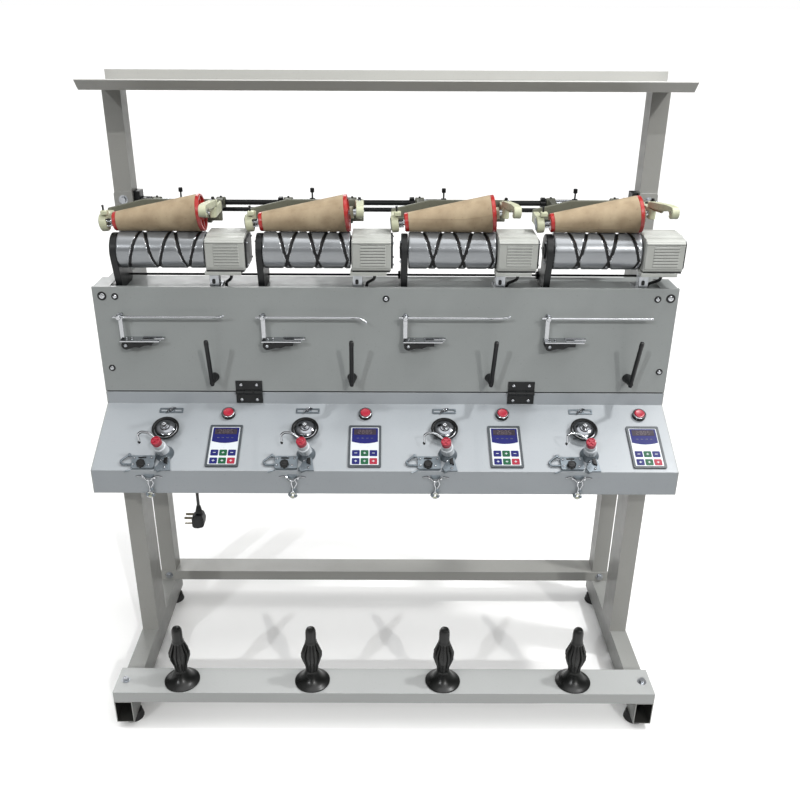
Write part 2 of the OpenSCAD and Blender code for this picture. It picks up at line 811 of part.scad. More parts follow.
module yarn_tensioners() {
    for (i = heads) {
        x = head_x(i) + tension_x;
        // slotted guide plate
        color(chrome) on_slope(x, 158) difference() {
            translate([-28, -7, 0]) cube([56, 14, 2]);
            for (u = [-16, 16]) translate([u - 8, -2, -1]) cube([16, 4, 4]);
        }
        // pair of dished tension discs on their post
        color(chrome) on_slope(x, 102) rotate([0, 0, 0]) {
            translate([0, 0, -6]) cylinder(h = 34, r = 4);
            translate([0, 0, 8]) cylinder(h = 5, r1 = disc_d / 2 - 9, r2 = disc_d / 2);
            translate([0, 0, 14]) cylinder(h = 5, r1 = disc_d / 2, r2 = disc_d / 2 - 9);
            translate([0, 0, 6]) cylinder(h = 14, r = 9);
        }
        // conical base with the leaning post of the yarn clearer
        color(cast_cream) on_slope(x + 4, 40) {
            cylinder(h = 14, r1 = 17, r2 = 11);
            cylinder(h = 36, r = 5);
        }
        color(red) on_slope(x + 4, 40) translate([0, 0, 36]) cylinder(h = 7, r = 8);
        // sensor block on its foot at the front edge
        color(black) on_slope(x - 38, 16) {
            translate([-14, -10, 0]) cube([28, 20, 3]);
            translate([-9, -7, 2]) cube([18, 14, 14]);
        }
        color(chrome) on_slope(x + 2, 14) difference() {
            translate([-12, -10, 0]) cube([24, 18, 9]);
            translate([-20, -7, 2]) cube([40, 12, 20]);
        }
        // guide eye that hangs below the front face
        color(chrome) translate([x - 22, console_front, console_z]) {
            block([-14, -3, 20], [14, 0, 44]);
            translate([0, -7, 0]) cylinder(h = 34, r = 2);
            block([-2, -7, 28], [2, 0, 34]);
            translate([0, -7, -2]) rotate([90, 0, 0]) difference() {
                cylinder(h = 5, r = 8, center = true);
                cylinder(h = 10, r = 4.5, center = true);
            }
        }
    }
}

// ---------- controls ----------

module keypads() {
    for (i = heads) on_slope(head_x(i) + pad_x, pad_s) {
        color(black) difference() {
            translate([-pad_w / 2, -pad_h / 2, 0]) cube([pad_w, pad_h, pad_t]);
            translate([-pad_w / 2 + 5, -pad_h / 2 + 5, pad_t - 1])
                cube([pad_w - 10, pad_h - 10, 4]);
        }
        color(black) translate([0, 0, -14])
            translate([-pad_w / 2 + 9, -pad_h / 2 + 9, 0]) cube([pad_w - 18, pad_h - 18, 15]);
        for (u = [-1, 0, 1], v = [0, 1]) color(red)
            translate([u * 18 - 7, -pad_h / 2 + 12 + v * 21, pad_t - 1 - eps]) cube([14, 14, 0.8]);
    }
}

module button_collars() {
    color(black) for (i = heads) on_slope(head_x(i) + pad_x, button_s) difference() {
        union() {
            cylinder(h = collar_h, r = button_r + 3.5);
            translate([0, 0, -30]) cylinder(h = 31, r = button_r + 2);
        }
        translate([0, 0, -2]) cylinder(h = 20, r = button_r + gap);
        translate([0, 0, -26]) cylinder(h = 30, r = 6);
    }
}

module button_cap(i) {
    color(red) on_slope(head_x(i) + pad_x, button_s) {
        translate([0, 0, button_travel - 1.5]) cylinder(h = collar_h + 1.5, r = button_r);
        translate([0, 0, -16]) cylinder(h = 20, r = 4);
    }
}

// ---------- power cord ----------

module cord_gland() {
    color(black) {
        translate([0, gland_y, gland_z]) {
            rod_x(box_left - 4, box_left, 9);
            difference() {
                translate([box_left - gland_len, 0, 0]) rotate([0, 90, 0])
                    cylinder(h = gland_len - 3, r1 = cord_d / 2 + 1.5, r2 = 7);
                rod_x(box_left - gland_len - 1, box_left - 4, cord_d / 2);
            }
        }
        translate([cord_x, cord_y, console_z]) difference() {
            union() {
                translate([0, 0, -2]) cylinder(h = 2, r = cord_d / 2 + 5);
                cylinder(h = sheet_t, r = cord_d / 2 + 3);
                translate([0, 0, sheet_t]) cylinder(h = 2, r = cord_d / 2 + 5);
            }
            translate([0, 0, -5]) cylinder(h = 20, r = cord_d / 2 + 0.1);
        }
    }
}

function unit(v) = v / norm(v);
// direction of a route at its point k
function heading(p, k) = unit(p[min(k + 1, len(p) - 1)] - p[max(k - 1, 0)]);
// two directions across a heading
function across(h) = unit(cross(h, abs(h[1]) < 0.9 ? [0, 1, 0] : [1, 0, 0]));

// a round tube swept along the points p
module cord_tube(p, r, sides) {
    rings = [for (k = [0:len(p) - 1]) let (h = heading(p, k), a = across(h), b = cross(h, a))
        for (s = [0:sides - 1]) p[k] + r * (cos(360 * s / sides) * a
            + sin(360 * s / sides) * b)];
    last = (len(p) - 1) * sides;
    walls = [for (k = [0:len(p) - 2], s = [0:sides - 1]) let (t = (s + 1) % sides)
        [k * sides + s, k * sides + t, (k + 1) * sides + t, (k + 1) * sides + s]];
    ends = [[for (s = [sides - 1:-1:0]) s], [for (s = [0:sides - 1]) last + s]];
    polyhedron(rings, concat(walls, ends));
}

module power_cord() {
    color(black) {
        cord_tube(lead_in, cord_d / 2, 8);
        cord_tube(lead_out, cord_d / 2, 8);
    }
}

module cord_hank() {
    outer = hank_r + (hank_turns - 0.5) * cord_d;
    inner = hank_r - cord_d / 2;
    color(black) translate([hank_x, hank_y, floor_z])
        linear_extrude(hank_layers * cord_d) difference() {
            racetrack(hank_run, outer);
            racetrack(hank_run, inner);
        }
}

// outline with two straight runs and round ends
module racetrack(run, r) {
    square([run, 2 * r], center = true);
    for (side = [-1, 1]) translate([side * run / 2, 0]) circle(r = r);
}

// angled three-pin plug that hangs on the cord's end
module power_plug() {
    color(black) translate([cord_x, cord_y, plug_z]) {
        translate([0, 0, -22]) cylinder(h = 22, r1 = 8, r2 = cord_d / 2 + 1);
        translate([0, 14, 0]) rotate([90, 0, 0]) linear_extrude(28)
            polygon([[-8, -20], [8, -20], [13, -36], [11, -50], [-2, -55], [-13, -54],
                [-16, -50], [-16, -27], [-12, -24]]);
    }
    color(chrome) translate([cord_x - 16, cord_y, plug_z]) {
        block([-17, -9, -32], [1, -7.5, -26]);
        block([-17, 7.5, -32], [1, 9, -26]);
        block([-19, -3, -49], [1, 3, -47.5]);
    }
}

skids();
rubber_feet();
front_posts();
rear_posts();
upper_posts();
bobbin_board();
rear_channel();
top_tray();
console_cover();
end_plates();
head_frame();
control_box();
lower_hinge_leaves();
head_rods();
drum_brackets();
motor_housings();
keypads();
button_collars();
yarn_tensioners();
cone_holders();
frame_bolts();
cord_gland();
power_cord();
cord_hank();
power_plug();
front_panel();
upper_hinge_leaves();
feeler_brackets();
for (i = heads) {
    drum(i);
    cradle(i);
    handle(i);
    paper_cone(i);
    chucks(i);
    feeler(i);
    lever(i);
    button_cap(i);
}
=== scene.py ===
"""Looks of the four-head yarn cone winder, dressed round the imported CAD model.

Lengths are in mm until a mesh is made, but those of camera, lights and materials are in metres.
A head's own pieces are built with x from the head's middle.
"""
import math

import bmesh
import bpy
from mathutils import Matrix, Vector


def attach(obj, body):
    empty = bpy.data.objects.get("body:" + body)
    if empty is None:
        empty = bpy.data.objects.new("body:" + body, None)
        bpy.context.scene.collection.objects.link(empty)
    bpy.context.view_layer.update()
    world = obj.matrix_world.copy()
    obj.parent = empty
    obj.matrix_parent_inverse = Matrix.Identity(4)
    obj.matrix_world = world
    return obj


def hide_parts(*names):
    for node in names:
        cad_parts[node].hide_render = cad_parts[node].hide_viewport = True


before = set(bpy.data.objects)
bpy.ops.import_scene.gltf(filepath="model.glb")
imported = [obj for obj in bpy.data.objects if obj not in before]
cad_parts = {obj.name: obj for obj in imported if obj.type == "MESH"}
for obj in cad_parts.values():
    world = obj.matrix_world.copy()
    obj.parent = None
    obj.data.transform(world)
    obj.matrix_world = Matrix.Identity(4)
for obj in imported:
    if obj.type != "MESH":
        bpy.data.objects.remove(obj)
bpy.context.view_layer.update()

MM = 0.001
HEADS = (1, 2, 3, 4)
HEAD_X = {i: (i - 2.5) * 300.0 for i in HEADS}
SKID_X, SKID_Z = 595.0, 48.0  # middle of the skids' hollow section
BEAM_TOP = 975.0  # top of the head frame's front beam
DRUM_Y, DRUM_Z = 10.0, 1058.0  # the drums' axis
SHAFT_Y, SHAFT_Z = 226.0, 1112.0  # rear shaft that the cradles swing on
SHAFT_HOLE = 6.05
FEELER_X, FEELER_Z = -108.0, 928.0  # pivots, x from the middle of their head
LEVER_X, LEVER_Z = 78.0, 785.0
SLOPE_Y, SLOPE_Z, SLOPE_ANGLE = -183.0, 638.0, 26.995  # front edge of the console's slope
KEYS_X = 107.0  # keypad and button, from the middle of their head
KEYPAD_UP, BUTTON_UP = 63.0, 148.0  # their places up the slope
POST_X, POST_Y, POST_Z = -15.0, -220.0, 106.0  # package post, x from the middle of its head
ROUNDED, SHARP, DRUM_SHARP = 28.0, 34.0, 38.0  # edges from these angles are rounded, kept sharp
WELD = 0.002  # how near two points of a piece become one

# Camera, from a fit to the photograph: first in the photograph's pixels
PHOTO_WIDTH, FOCAL, CENTRE = 800.0, 863.2, 386.03
CAMERA_AT = (0.00007, -1.7607, 1.52562)
CAMERA_RIGHT = (0.99999, 0.00068, 0.00391)
CAMERA_AHEAD = (0.00101, 0.90899, -0.41681)
SENSOR = 36.0

# Name, strength, angle in degrees, direction, colour
SUNS = (("key_light", 0.86, 1.5, (-0.34, 0.77, -0.54), (1.0, 0.99, 0.97)),
        ("second_light", 0.76, 1.5, (0.42, 0.74, -0.52), (0.97, 0.985, 1.0)),
        ("top_light", 1.05, 50, (-0.16, 0.10, -1.0), (1.0, 1.0, 1.0)),
        ("back_light", 0.7, 25, (0.2, -0.8, -0.4), (1.0, 1.0, 1.0)))
# Name, power, sides or diameter, place, target
LAMPS = (("side_light", 12, (1.5, 1.5), (1.15, -2.0, 2.3), (0.35, 0.0, 0.8)),
         ("room_lamp", 46, (0.2,), (1.69, -0.2, 3.2), (0.2, -0.1, 0.4)),
         ("strip_light", 5, (4.2, 0.05), (0.0, -2.22, 2.36), (0.0, 0.0, 1.06)))
# Grey of the world from just under the horizon (0) to straight up (1), where it lights the
# part; the camera itself sees white
SKY = ((0.02, 0.11), (0.05, 1.0), (0.085, 1.0), (0.11, 0.08), (0.42, 0.10), (0.62, 0.36),
       (1.0, 0.86))
FLOOR_REACH, FLOOR_DROP = 400.0, -0.0005  # metres
VIEW_REACH = 1000.0


# ---------- materials ----------

def feed(tree, value, socket):
    """Links an output to a socket, or sets the socket to a number or colour."""
    if isinstance(value, bpy.types.NodeSocket):
        tree.links.new(value, socket)
    else:
        socket.default_value = value


def add_node(tree, kind, out, inputs=None, **settings):
    """Makes a node with its settings and inputs, and gives one of its outputs."""
    node = tree.nodes.new("ShaderNode" + kind)
    for name, value in settings.items():
        setattr(node, name, value)
    for key, value in (inputs or {}).items():
        feed(tree, value, node.inputs[key])
    return node.outputs[out]


def linear(rgb):
    """A colour of 0 to 255, as screens show it, in the renderer's linear numbers."""
    out = []
    for c in rgb:
        c = c / 255.0
        out.append(c / 12.92 if c <= 0.04045 else ((c + 0.055) / 1.055) ** 2.4)
    return out + [1.0]


def finish_of(name, rgb, rough=0.5, metal=0.0, mottle=0.05, mottle_scale=7.0, second=None,
              rough_var=0.06, rough_scale=45.0, bump=0.08, bump_scale=700.0,
              stretch=(1.0, 1.0, 1.0), coat=0.0, edge=0.0, edge_rgb=(205, 205, 203),
              specks=0.0, specks_rgb=(60, 58, 55), specks_scale=260.0, spec=0.5, shaded_bore=None):
    """A material whose colour, roughness and surface all vary with noise in object space."""
    mat = bpy.data.materials.new(name)
    mat.use_nodes = True
    tree = mat.node_tree
    place = add_node(tree, "TexCoord", "Object")
    grain = add_node(tree, "Mapping", "Vector", {"Scale": stretch, "Vector": place})

    def noise(size, detail, source=place):
        return add_node(tree, "TexNoise", "Fac",
                        {"Scale": size, "Detail": detail, "Vector": source})

    def spread(value, low, high, to_low, to_high):
        return add_node(tree, "MapRange", "Result", {"From Min": low, "From Max": high,
                        "To Min": to_low, "To Max": to_high, "Value": value})

    def mix(fac, a, b):
        return add_node(tree, "Mix", "Result", {"Factor": fac, "A": a, "B": b},
                        data_type="RGBA")

    def calc(kind, a, b=0.0):
        return add_node(tree, "Math", "Value", {0: a, 1: b}, operation=kind)

    base = linear(rgb)[:3]
    dark = [c * (1 - mottle) for c in base] + [1.0]
    light = [min(c * (1 + mottle), 1.0) for c in base] + [1.0]
    if second:
        light = linear(second)
    colour = mix(spread(noise(mottle_scale, 5), 0.3, 0.7, 0, 1), dark, light)
    if specks:
        spots = spread(noise(specks_scale, 2), 0.66, 0.72, 0, specks)
        colour = mix(spots, colour, linear(specks_rgb))
    skin = {"Strength": bump, "Distance": 0.0004}
    if edge:
        # paint rubbed off in patches and a painted highlight, where the rounded normal leaves the
        # flat one
        skin["Normal"] = add_node(tree, "Bevel", "Normal", {"Radius": 0.0011}, samples=4)
        flat = add_node(tree, "NewGeometry", "Normal")
        dot = add_node(tree, "VectorMath", "Value", {0: skin["Normal"], 1: flat},
                       operation="DOT_PRODUCT")
        worn_and_lit = calc("MULTIPLY", spread(dot, 0.995, 0.9, 0, edge),
                    spread(noise(38, 4), 0.42, 0.6, 0.25, 1))
        colour = mix(worn_and_lit, colour, linear(edge_rgb))
    if shaded_bore:
        # painted shade in a hollow: dark within the given ranges, which are the same on both sides
        # of the middle
        split = add_node(tree, "SeparateXYZ", "X", {"Vector": place}).node
        inside = None
        for axis, centre, half in shaded_bore:
            off = calc("SUBTRACT", calc("ABSOLUTE", split.outputs[axis]), centre)
            near = calc("LESS_THAN", calc("ABSOLUTE", off), half)
            inside = calc("MULTIPLY", inside, near) if inside else near
        colour = mix(inside, colour, linear((44, 44, 42)))
    skin["Height"] = noise(bump_scale, 3, grain)
    uneven = spread(noise(rough_scale, 4, grain), 0.3, 0.7, max(rough - rough_var, 0.02),
                    min(rough + rough_var, 1))
    shader = tree.nodes["Principled BSDF"].inputs
    for key, value in (("Metallic", metal), ("Coat Weight", coat), ("Specular IOR Level", spec),
                       ("Base Color", colour), ("Roughness", uneven),
                       ("Normal", add_node(tree, "Bump", "Normal", skin))):
        feed(tree, value, shader[key])
    return mat


# Rounded edges get a lighter colour in patches: partly rubbed paint, partly a painted highlight.
COAT = dict(rough=0.42, mottle=0.035, bump=0.16, bump_scale=520, coat=0.12, specks=0.12)
PALE_COAT = dict(rough=0.36, mottle=0.03, bump=0.14, bump_scale=520, edge=0.5, coat=0.2,
                 specks=0.1, edge_rgb=(225, 226, 227))
CAST = dict(bump=0.35, bump_scale=420, specks_scale=190, edge=0.35)
FILM = dict(rough=0.36, mottle=0.08, mottle_scale=50, bump=0.04)
BLACK = dict(rough=0.42, mottle=0.2, mottle_scale=30, spec=0.3)
# Key: name of the material, colour, the rest
FINISHES = {
    # The grey is kept a little darker than the cover's paint after it, and the cover's paint
    # bluer: painted shade on the panel and frame, painted light on the slope.
    "grey": ("grey_powder_coat", (141, 145, 144), dict(COAT, edge=0.5)),
    "top": ("light_powder_coat", (147, 152, 156), PALE_COAT),
    "plain": ("stand_powder_coat", (146, 146, 142), dict(COAT, edge=0.5)),
    # the skids' hollow section is darkened: painted shade in the tubes
    "skid": ("skid_powder_coat", (140, 141, 138), dict(
        COAT, shaded_bore=(("X", SKID_X * MM, 0.0181), ("Z", SKID_Z * MM, 0.0281)))),
    "tray": ("tray_powder_coat", (180, 180, 176), dict(PALE_COAT, rough=0.4, coat=0.15)),
    "board": ("board_powder_coat", (163, 165, 164), PALE_COAT),
    "cream": ("cream_cast_paint", (186, 188, 160), dict(
        CAST, rough=0.45, mottle=0.09, mottle_scale=30, specks=0.5, specks_rgb=(70, 72, 48),
        edge_rgb=(228, 226, 208))),
    "motor": ("motor_cast_aluminium", (172, 174, 169), dict(
        rough=0.46, mottle=0.06, mottle_scale=22, bump=0.3, bump_scale=650, specks=0.2,
        specks_rgb=(128, 130, 122), edge=0.4, edge_rgb=(226, 228, 226))),
    "steel": ("turned_steel", (140, 143, 146), dict(
        rough=0.22, metal=0.45, mottle=0.03, mottle_scale=9, rough_var=0.03, rough_scale=9,
        bump=0.01, bump_scale=40, stretch=(8.0, 1.0, 1.0))),
    "disc": ("tension_disc_steel", (120, 122, 126), dict(
        rough=0.12, metal=1.0, mottle=0.12, mottle_scale=60, rough_scale=70, bump=0.05,
        bump_scale=200)),
    # near black at the bottom of the drum's groove: painted shade in the groove
    "groove": ("groove_painted_shade", (22, 22, 23), dict(
        rough=0.45, metal=0.2, spec=0.25, mottle=0.2, bump=0.1)),
    "chrome": ("bright_chrome", (172, 174, 177), dict(
        rough=0.14, metal=1.0, mottle=0.04, mottle_scale=40, bump=0.04, bump_scale=300,
        specks=0.3, specks_rgb=(110, 108, 100), specks_scale=330)),
    "zinc": ("zinc_plate", (164, 167, 171), dict(
        rough=0.3, metal=0.95, mottle=0.1, mottle_scale=55, rough_var=0.1, bump=0.1,
        bump_scale=240)),
    "black_steel": ("black_painted_steel", (17, 19, 20), dict(
        BLACK, mottle=0.25, mottle_scale=25, bump=0.2, bump_scale=480, edge=0.4,
        edge_rgb=(62, 64, 66))),
    "black": ("black_plastic", (15, 16, 17), dict(BLACK, bump=0.14, bump_scale=620)),
    "gloss": ("moulded_black", (12, 13, 12), dict(
        BLACK, rough=0.3, rough_var=0.05, bump=0.06, bump_scale=400, spec=0.35)),
    "rubber": ("black_rubber", (24, 24, 24), dict(
        rough=0.72, mottle=0.3, mottle_scale=35, bump=0.3, bump_scale=520)),
    "red": ("red_plastic", (166, 34, 30), dict(
        rough=0.32, mottle=0.1, mottle_scale=28, bump_scale=500, coat=0.2, specks=0.25,
        specks_rgb=(120, 20, 20))),
    "cap": ("button_red", (158, 22, 46), dict(
        rough=0.34, mottle=0.06, mottle_scale=60, bump=0.05, coat=0.15)),
    "paper": ("brown_paper", (154, 135, 108), dict(
        rough=0.78, mottle=0.12, mottle_scale=26, second=(176, 158, 130), rough_var=0.1,
        bump=0.35, bump_scale=260, specks=0.35, specks_rgb=(120, 96, 78), specks_scale=150)),
    "white": ("white_film", (196, 201, 205), dict(
        rough=0.3, mottle=0.015, bump=0.04, coat=0.1)),
    "blue": ("blue_film", (18, 22, 92), dict(FILM, spec=0.2)),
    "green": ("green_film", (14, 78, 48), dict(FILM, spec=0.2)),
    "key_red": ("red_film", (148, 34, 54), dict(FILM, spec=0.2)),
    "window": ("display_window", (50, 42, 52), dict(
        FILM, rough=0.3, mottle=0.12, mottle_scale=90, bump=0.02, spec=0.2)),
    "digit": ("display_digits", (96, 84, 90), dict(FILM, rough=0.3, mottle_scale=90, bump=0.02)),
    "bezel": ("bezel_grey", (50, 57, 62), dict(
        rough=0.4, mottle=0.1, mottle_scale=40, bump=0.1, edge=0.3)),
    "gunmetal": ("gunmetal_plate", (104, 112, 118), dict(
        rough=0.34, metal=0.6, mottle=0.18, mottle_scale=60, bump=0.12, bump_scale=300,
        edge=0.5, edge_rgb=(196, 202, 206))),
    "cord": ("cord_pvc", (22, 22, 23), dict(
        mottle=0.25, mottle_scale=60, bump=0.12, bump_scale=500)),
    "brass": ("plug_pins", (84, 80, 70), dict(
        rough=0.3, metal=1.0, mottle=0.08, mottle_scale=60, bump=0.05)),
    # the cream cast paint darkened: painted shade for the cradle's parts behind and under the cone
    "shaded_cream": ("cream_cast_paint_painted_shade", (100, 101, 88), dict(
        CAST, mottle=0.08, mottle_scale=24, specks=0.4, specks_rgb=(60, 62, 48),
        edge_rgb=(150, 150, 136))),
}
M = {key: finish_of(name, rgb, **more) for key, (name, rgb, more) in FINISHES.items()}


# ---------- camera, light and floor ----------

def link_object(name, data, at=(0.0, 0.0, 0.0)):
    ob = bpy.data.objects.new(name, data)
    bpy.context.scene.collection.objects.link(ob)
    ob.location = at
    return ob


def set_camera():
    cam = link_object("camera", bpy.data.cameras.new("camera"))
    ahead = Vector(CAMERA_AHEAD).normalized()
    up = Vector(CAMERA_RIGHT).cross(ahead).normalized()
    facing = Matrix((ahead.cross(up), up, -ahead)).transposed().to_4x4()
    cam.matrix_world = Matrix.Translation(CAMERA_AT) @ facing
    cam.data.sensor_fit = "HORIZONTAL"
    cam.data.sensor_width = SENSOR
    cam.data.lens = FOCAL / PHOTO_WIDTH * SENSOR
    cam.data.shift_x = (PHOTO_WIDTH / 2 - CENTRE) / PHOTO_WIDTH
    cam.data.clip_end = VIEW_REACH
    bpy.context.scene.camera = cam


def towards(direction):
    return Vector(direction).to_track_quat("-Z", "Y").to_euler()


def set_lights():
    for name, strength, angle, direction, tint in SUNS:
        data = bpy.data.lights.new(name, "SUN")
        data.energy, data.angle, data.color = strength, math.radians(angle), tint
        link_object(name, data).rotation_euler = towards(direction)
    for name, power, sides, at, target in LAMPS:
        data = bpy.data.lights.new(name, "AREA")
        data.energy, data.size, data.shape = power, sides[0], "DISK"
        if len(sides) == 2:
            data.shape, data.size_y = "RECTANGLE", sides[1]
        lamp = link_object(name, data, at)
        lamp.rotation_euler = towards(Vector(target) - lamp.location)


def set_world():
    world = bpy.data.worlds.new("studio")
    world.use_nodes = True
    tree = world.node_tree
    way = add_node(tree, "TexCoord", "Generated")
    rise = add_node(tree, "SeparateXYZ", "Z", {"Vector": way})
    lift = add_node(tree, "MapRange", "Result", {"From Min": -0.06, "Value": rise})
    fade = add_node(tree, "ValToRGB", "Color", {"Fac": lift})
    ramp = fade.node.color_ramp.elements
    for spot, grey in SKY:
        ramp.new(spot).color = (grey, grey, grey, 1.0)
    ramp[0].color = (SKY[0][1],) * 3 + (1.0,)
    seen = add_node(tree, "LightPath", "Is Camera Ray")
    sky = add_node(tree, "Mix", "Result", {"Factor": seen, "A": fade, "B": (1.0,) * 4},
                   data_type="RGBA")
    feed(tree, sky, tree.nodes["Background"].inputs["Color"])
    bpy.context.scene.world = world


def set_floor():
    bm = bmesh.new()
    bmesh.ops.create_grid(bm, x_segments=2, y_segments=2, size=FLOOR_REACH)
    mesh = bpy.data.meshes.new("floor")
    bm.to_mesh(mesh)
    bm.free()
    floor = link_object("floor", mesh, (0.0, 0.0, FLOOR_DROP))
    mesh.materials.append(finish_of("floor_grey", (251, 251, 250), 0.8, mottle=0.01, bump=0.02))
    floor.visible_diffuse = False
    bpy.context.scene.view_settings.view_transform = "Standard"


# ---------- mesh building ----------

def merge(bm, part, mat=0, at=None, bevel=0.0, seg=2):
    """Adds the closed form part to bm, in mm, with its sharp edges rounded, and frees it."""
    bmesh.ops.recalc_face_normals(part, faces=part.faces)
    if bevel:
        edges = [e for e in part.edges
                 if len(e.link_faces) == 2 and e.calc_face_angle(0) > math.radians(ROUNDED)]
        bmesh.ops.bevel(part, geom=edges, offset=bevel, segments=seg, profile=0.5,
                        affect="EDGES", clamp_overlap=True)
    if at is not None:
        bmesh.ops.transform(part, matrix=at, verts=part.verts)
    for f in part.faces:
        f.material_index = mat
    keep = bpy.data.meshes.new("keep")
    part.to_mesh(keep)
    part.free()
    bm.from_mesh(keep)
    bpy.data.meshes.remove(keep)


def add(bm, verts, faces, *how):
    """Adds a closed form given by its points and faces, as merge does."""
    part = bmesh.new()
    made = [part.verts.new(v) for v in verts]
    for f in faces:
        part.faces.new([made[k] for k in f])
    merge(bm, part, *how)


def block(bm, low, high, mat=0, at=None, bevel=0.6, seg=2):
    verts = [(x, y, z) for z in (low[2], high[2])
             for x, y in ((low[0], low[1]), (high[0], low[1]), (high[0], high[1]),
                          (low[0], high[1]))]
    faces = [(0, 1, 2, 3), (4, 5, 6, 7), (0, 1, 5, 4), (1, 2, 6, 5), (2, 3, 7, 6),
             (3, 0, 4, 7)]
    add(bm, verts, faces, mat, at, bevel, seg)


def lathe(bm, profile, mat=0, at=None, seg=40):
    """Turns (radius, height) points round z. One that starts off the axis is a closed ring."""
    verts, rings = [], []
    for r, h in profile:
        count = seg if r > 1e-6 else 1
        rings.append(list(range(len(verts), len(verts) + count)))
        verts += [(r * math.cos(2 * math.pi * k / seg), r * math.sin(2 * math.pi * k / seg), h)
                  for k in range(count)]
    pairs = list(zip(rings, rings[1:]))
    if profile[0][0] > 0:
        pairs.append((rings[-1], rings[0]))
    faces = []
    for a, b in pairs:
        for k in range(seg if len(a) + len(b) > 2 else 0):
            n = (k + 1) % seg
            if len(a) == 1:
                faces.append((a[0], b[k], b[n]))
            elif len(b) == 1:
                faces.append((a[k], a[n], b[0]))
            else:
                faces.append((a[k], a[n], b[n], b[k]))
    add(bm, verts, faces, mat, at)


def solid(bm, profile, *how):
    """Turns a profile whose two ends run straight in to the axis."""
    lathe(bm, [(0, profile[0][1]), *profile, (0, profile[-1][1])], *how)


def prism(bm, outline, h0, h1, mat=0, at=None, bevel=0.6, seg=2, holes=()):
    """A flat outline in x, y with holes, as thick as h1 - h0 along z."""
    part = bmesh.new()
    edges = []
    for loop in [outline, *holes]:
        vs = [part.verts.new((x, y, h0)) for x, y in loop]
        edges += [part.edges.new((vs[k], vs[(k + 1) % len(vs)])) for k in range(len(vs))]
    if holes:
        bmesh.ops.triangle_fill(part, use_beauty=True, use_dissolve=False, edges=edges)
    else:
        bmesh.ops.contextual_create(part, geom=edges)
    up = bmesh.ops.extrude_face_region(part, geom=list(part.faces))
    moved = [g for g in up["geom"] if isinstance(g, bmesh.types.BMVert)]
    bmesh.ops.translate(part, vec=(0, 0, h1 - h0), verts=moved)
    merge(bm, part, mat, at, bevel, seg)


def tube(bm, points, r, mat=0, at=None, seg=14):
    """A round rod along points; r is one radius or one for each point."""
    pts = [Vector(p) for p in points]
    radii = r if isinstance(r, list) else [r] * len(pts)
    verts, faces = [], []
    side = None
    for k, p in enumerate(pts):
        way = (pts[min(k + 1, len(pts) - 1)] - pts[max(k - 1, 0)]).normalized()
        if side is None:
            side = way.cross(Vector((0, 0, 1)))
            if side.length < 0.1:
                side = way.cross(Vector((0, 1, 0)))
        else:
            side = side - way * side.dot(way)
        side.normalize()
        other = way.cross(side)
        for s in range(seg):
            a = 2 * math.pi * s / seg
            verts.append(p + (side * math.cos(a) + other * math.sin(a)) * radii[k])
    for k in range(0, (len(pts) - 1) * seg, seg):
        for s in range(seg):
            t = (s + 1) % seg
            faces.append((k + s, k + t, k + seg + t, k + seg + s))
    faces.append(tuple(range(seg - 1, -1, -1)))
    faces.append(tuple(range(len(verts) - seg, len(verts))))
    add(bm, verts, faces, mat, at)


def bent(points, radius=6.0):
    """Rounds the corners of a path, in six steps each."""
    pts = [Vector(p) for p in points]
    out = [pts[0]]
    for a, b, c in zip(pts, pts[1:], pts[2:]):
        u, v = (a - b), (c - b)
        cut = min(radius, u.length * 0.48, v.length * 0.48)
        p, q = b + u.normalized() * cut, b + v.normalized() * cut
        out += [p * (1 - t) ** 2 + b * 2 * t * (1 - t) + q * t * t
                for t in [k / 6 for k in range(7)]]
    return out + [pts[-1]]


def polar(r, degrees, x=0.0, y=0.0):
    a = math.radians(degrees)
    return (x + r * math.cos(a), y + r * math.sin(a))


def ring_of(r, n=24, x=0.0, y=0.0, start=0.0, stop=360.0):
    """n points of an arc, with both its ends where it isn't a full circle."""
    steps = n if stop - start >= 360 else n - 1
    return [polar(r, start + (stop - start) * k / steps, x, y) for k in range(n)]


def round_rect(w, h, r, n=5, x=0.0, y=0.0):
    return [polar(r, a + 90 * k / n, x + cx * (w / 2 - r), y + cy * (h / 2 - r))
            for cx, cy, a in ((1, 1, 0), (-1, 1, 90), (-1, -1, 180), (1, -1, 270))
            for k in range(n + 1)]


def move(x=0.0, y=0.0, z=0.0):
    return Matrix.Translation((x, y, z))


def turn(axis, degrees):
    return Matrix.Rotation(math.radians(degrees), 4, axis)


# These turn a form's own z to the right, to the left or out of the front. SIDE takes an
# outline that is given in y and z, and a thickness along x.
ALONG_X = turn("Y", 90)
TO_LEFT = turn("Y", -90)
TO_FRONT = turn("X", 90)
SIDE = Matrix(((0, 0, 1, 0), (1, 0, 0, 0), (0, 1, 0, 0), (0, 0, 0, 1)))
CONE = move(-103, 15, 1116.363) @ turn("Y", -6) @ ALONG_X  # its axis, from the small end
SHAFT = move(0, SHAFT_Y, SHAFT_Z) @ ALONG_X


def on_slope(x, s, up=0.0):
    """A place on the console's slope, s up it from its front edge."""
    return move(x, SLOPE_Y, SLOPE_Z) @ turn("X", SLOPE_ANGLE) @ move(0, s, up)


def mesh_of(name, bm, mats, sharp=SHARP):
    """Makes bm's mesh, in metres, smooth but for the edges over sharp degrees."""
    bmesh.ops.transform(bm, matrix=Matrix.Scale(MM, 4), verts=bm.verts)
    for f in bm.faces:
        f.smooth = True
    for e in bm.edges:
        e.smooth = len(e.link_faces) == 2 and e.calc_face_angle(0) < math.radians(sharp)
    mesh = bpy.data.meshes.new(name)
    bm.to_mesh(mesh)
    bm.free()
    for m in mats:
        mesh.materials.append(M[m])
    return mesh


def ride(ob, body, slot, *replaces):
    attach(ob, body)
    if replaces:
        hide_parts(*replaces)
    return ob


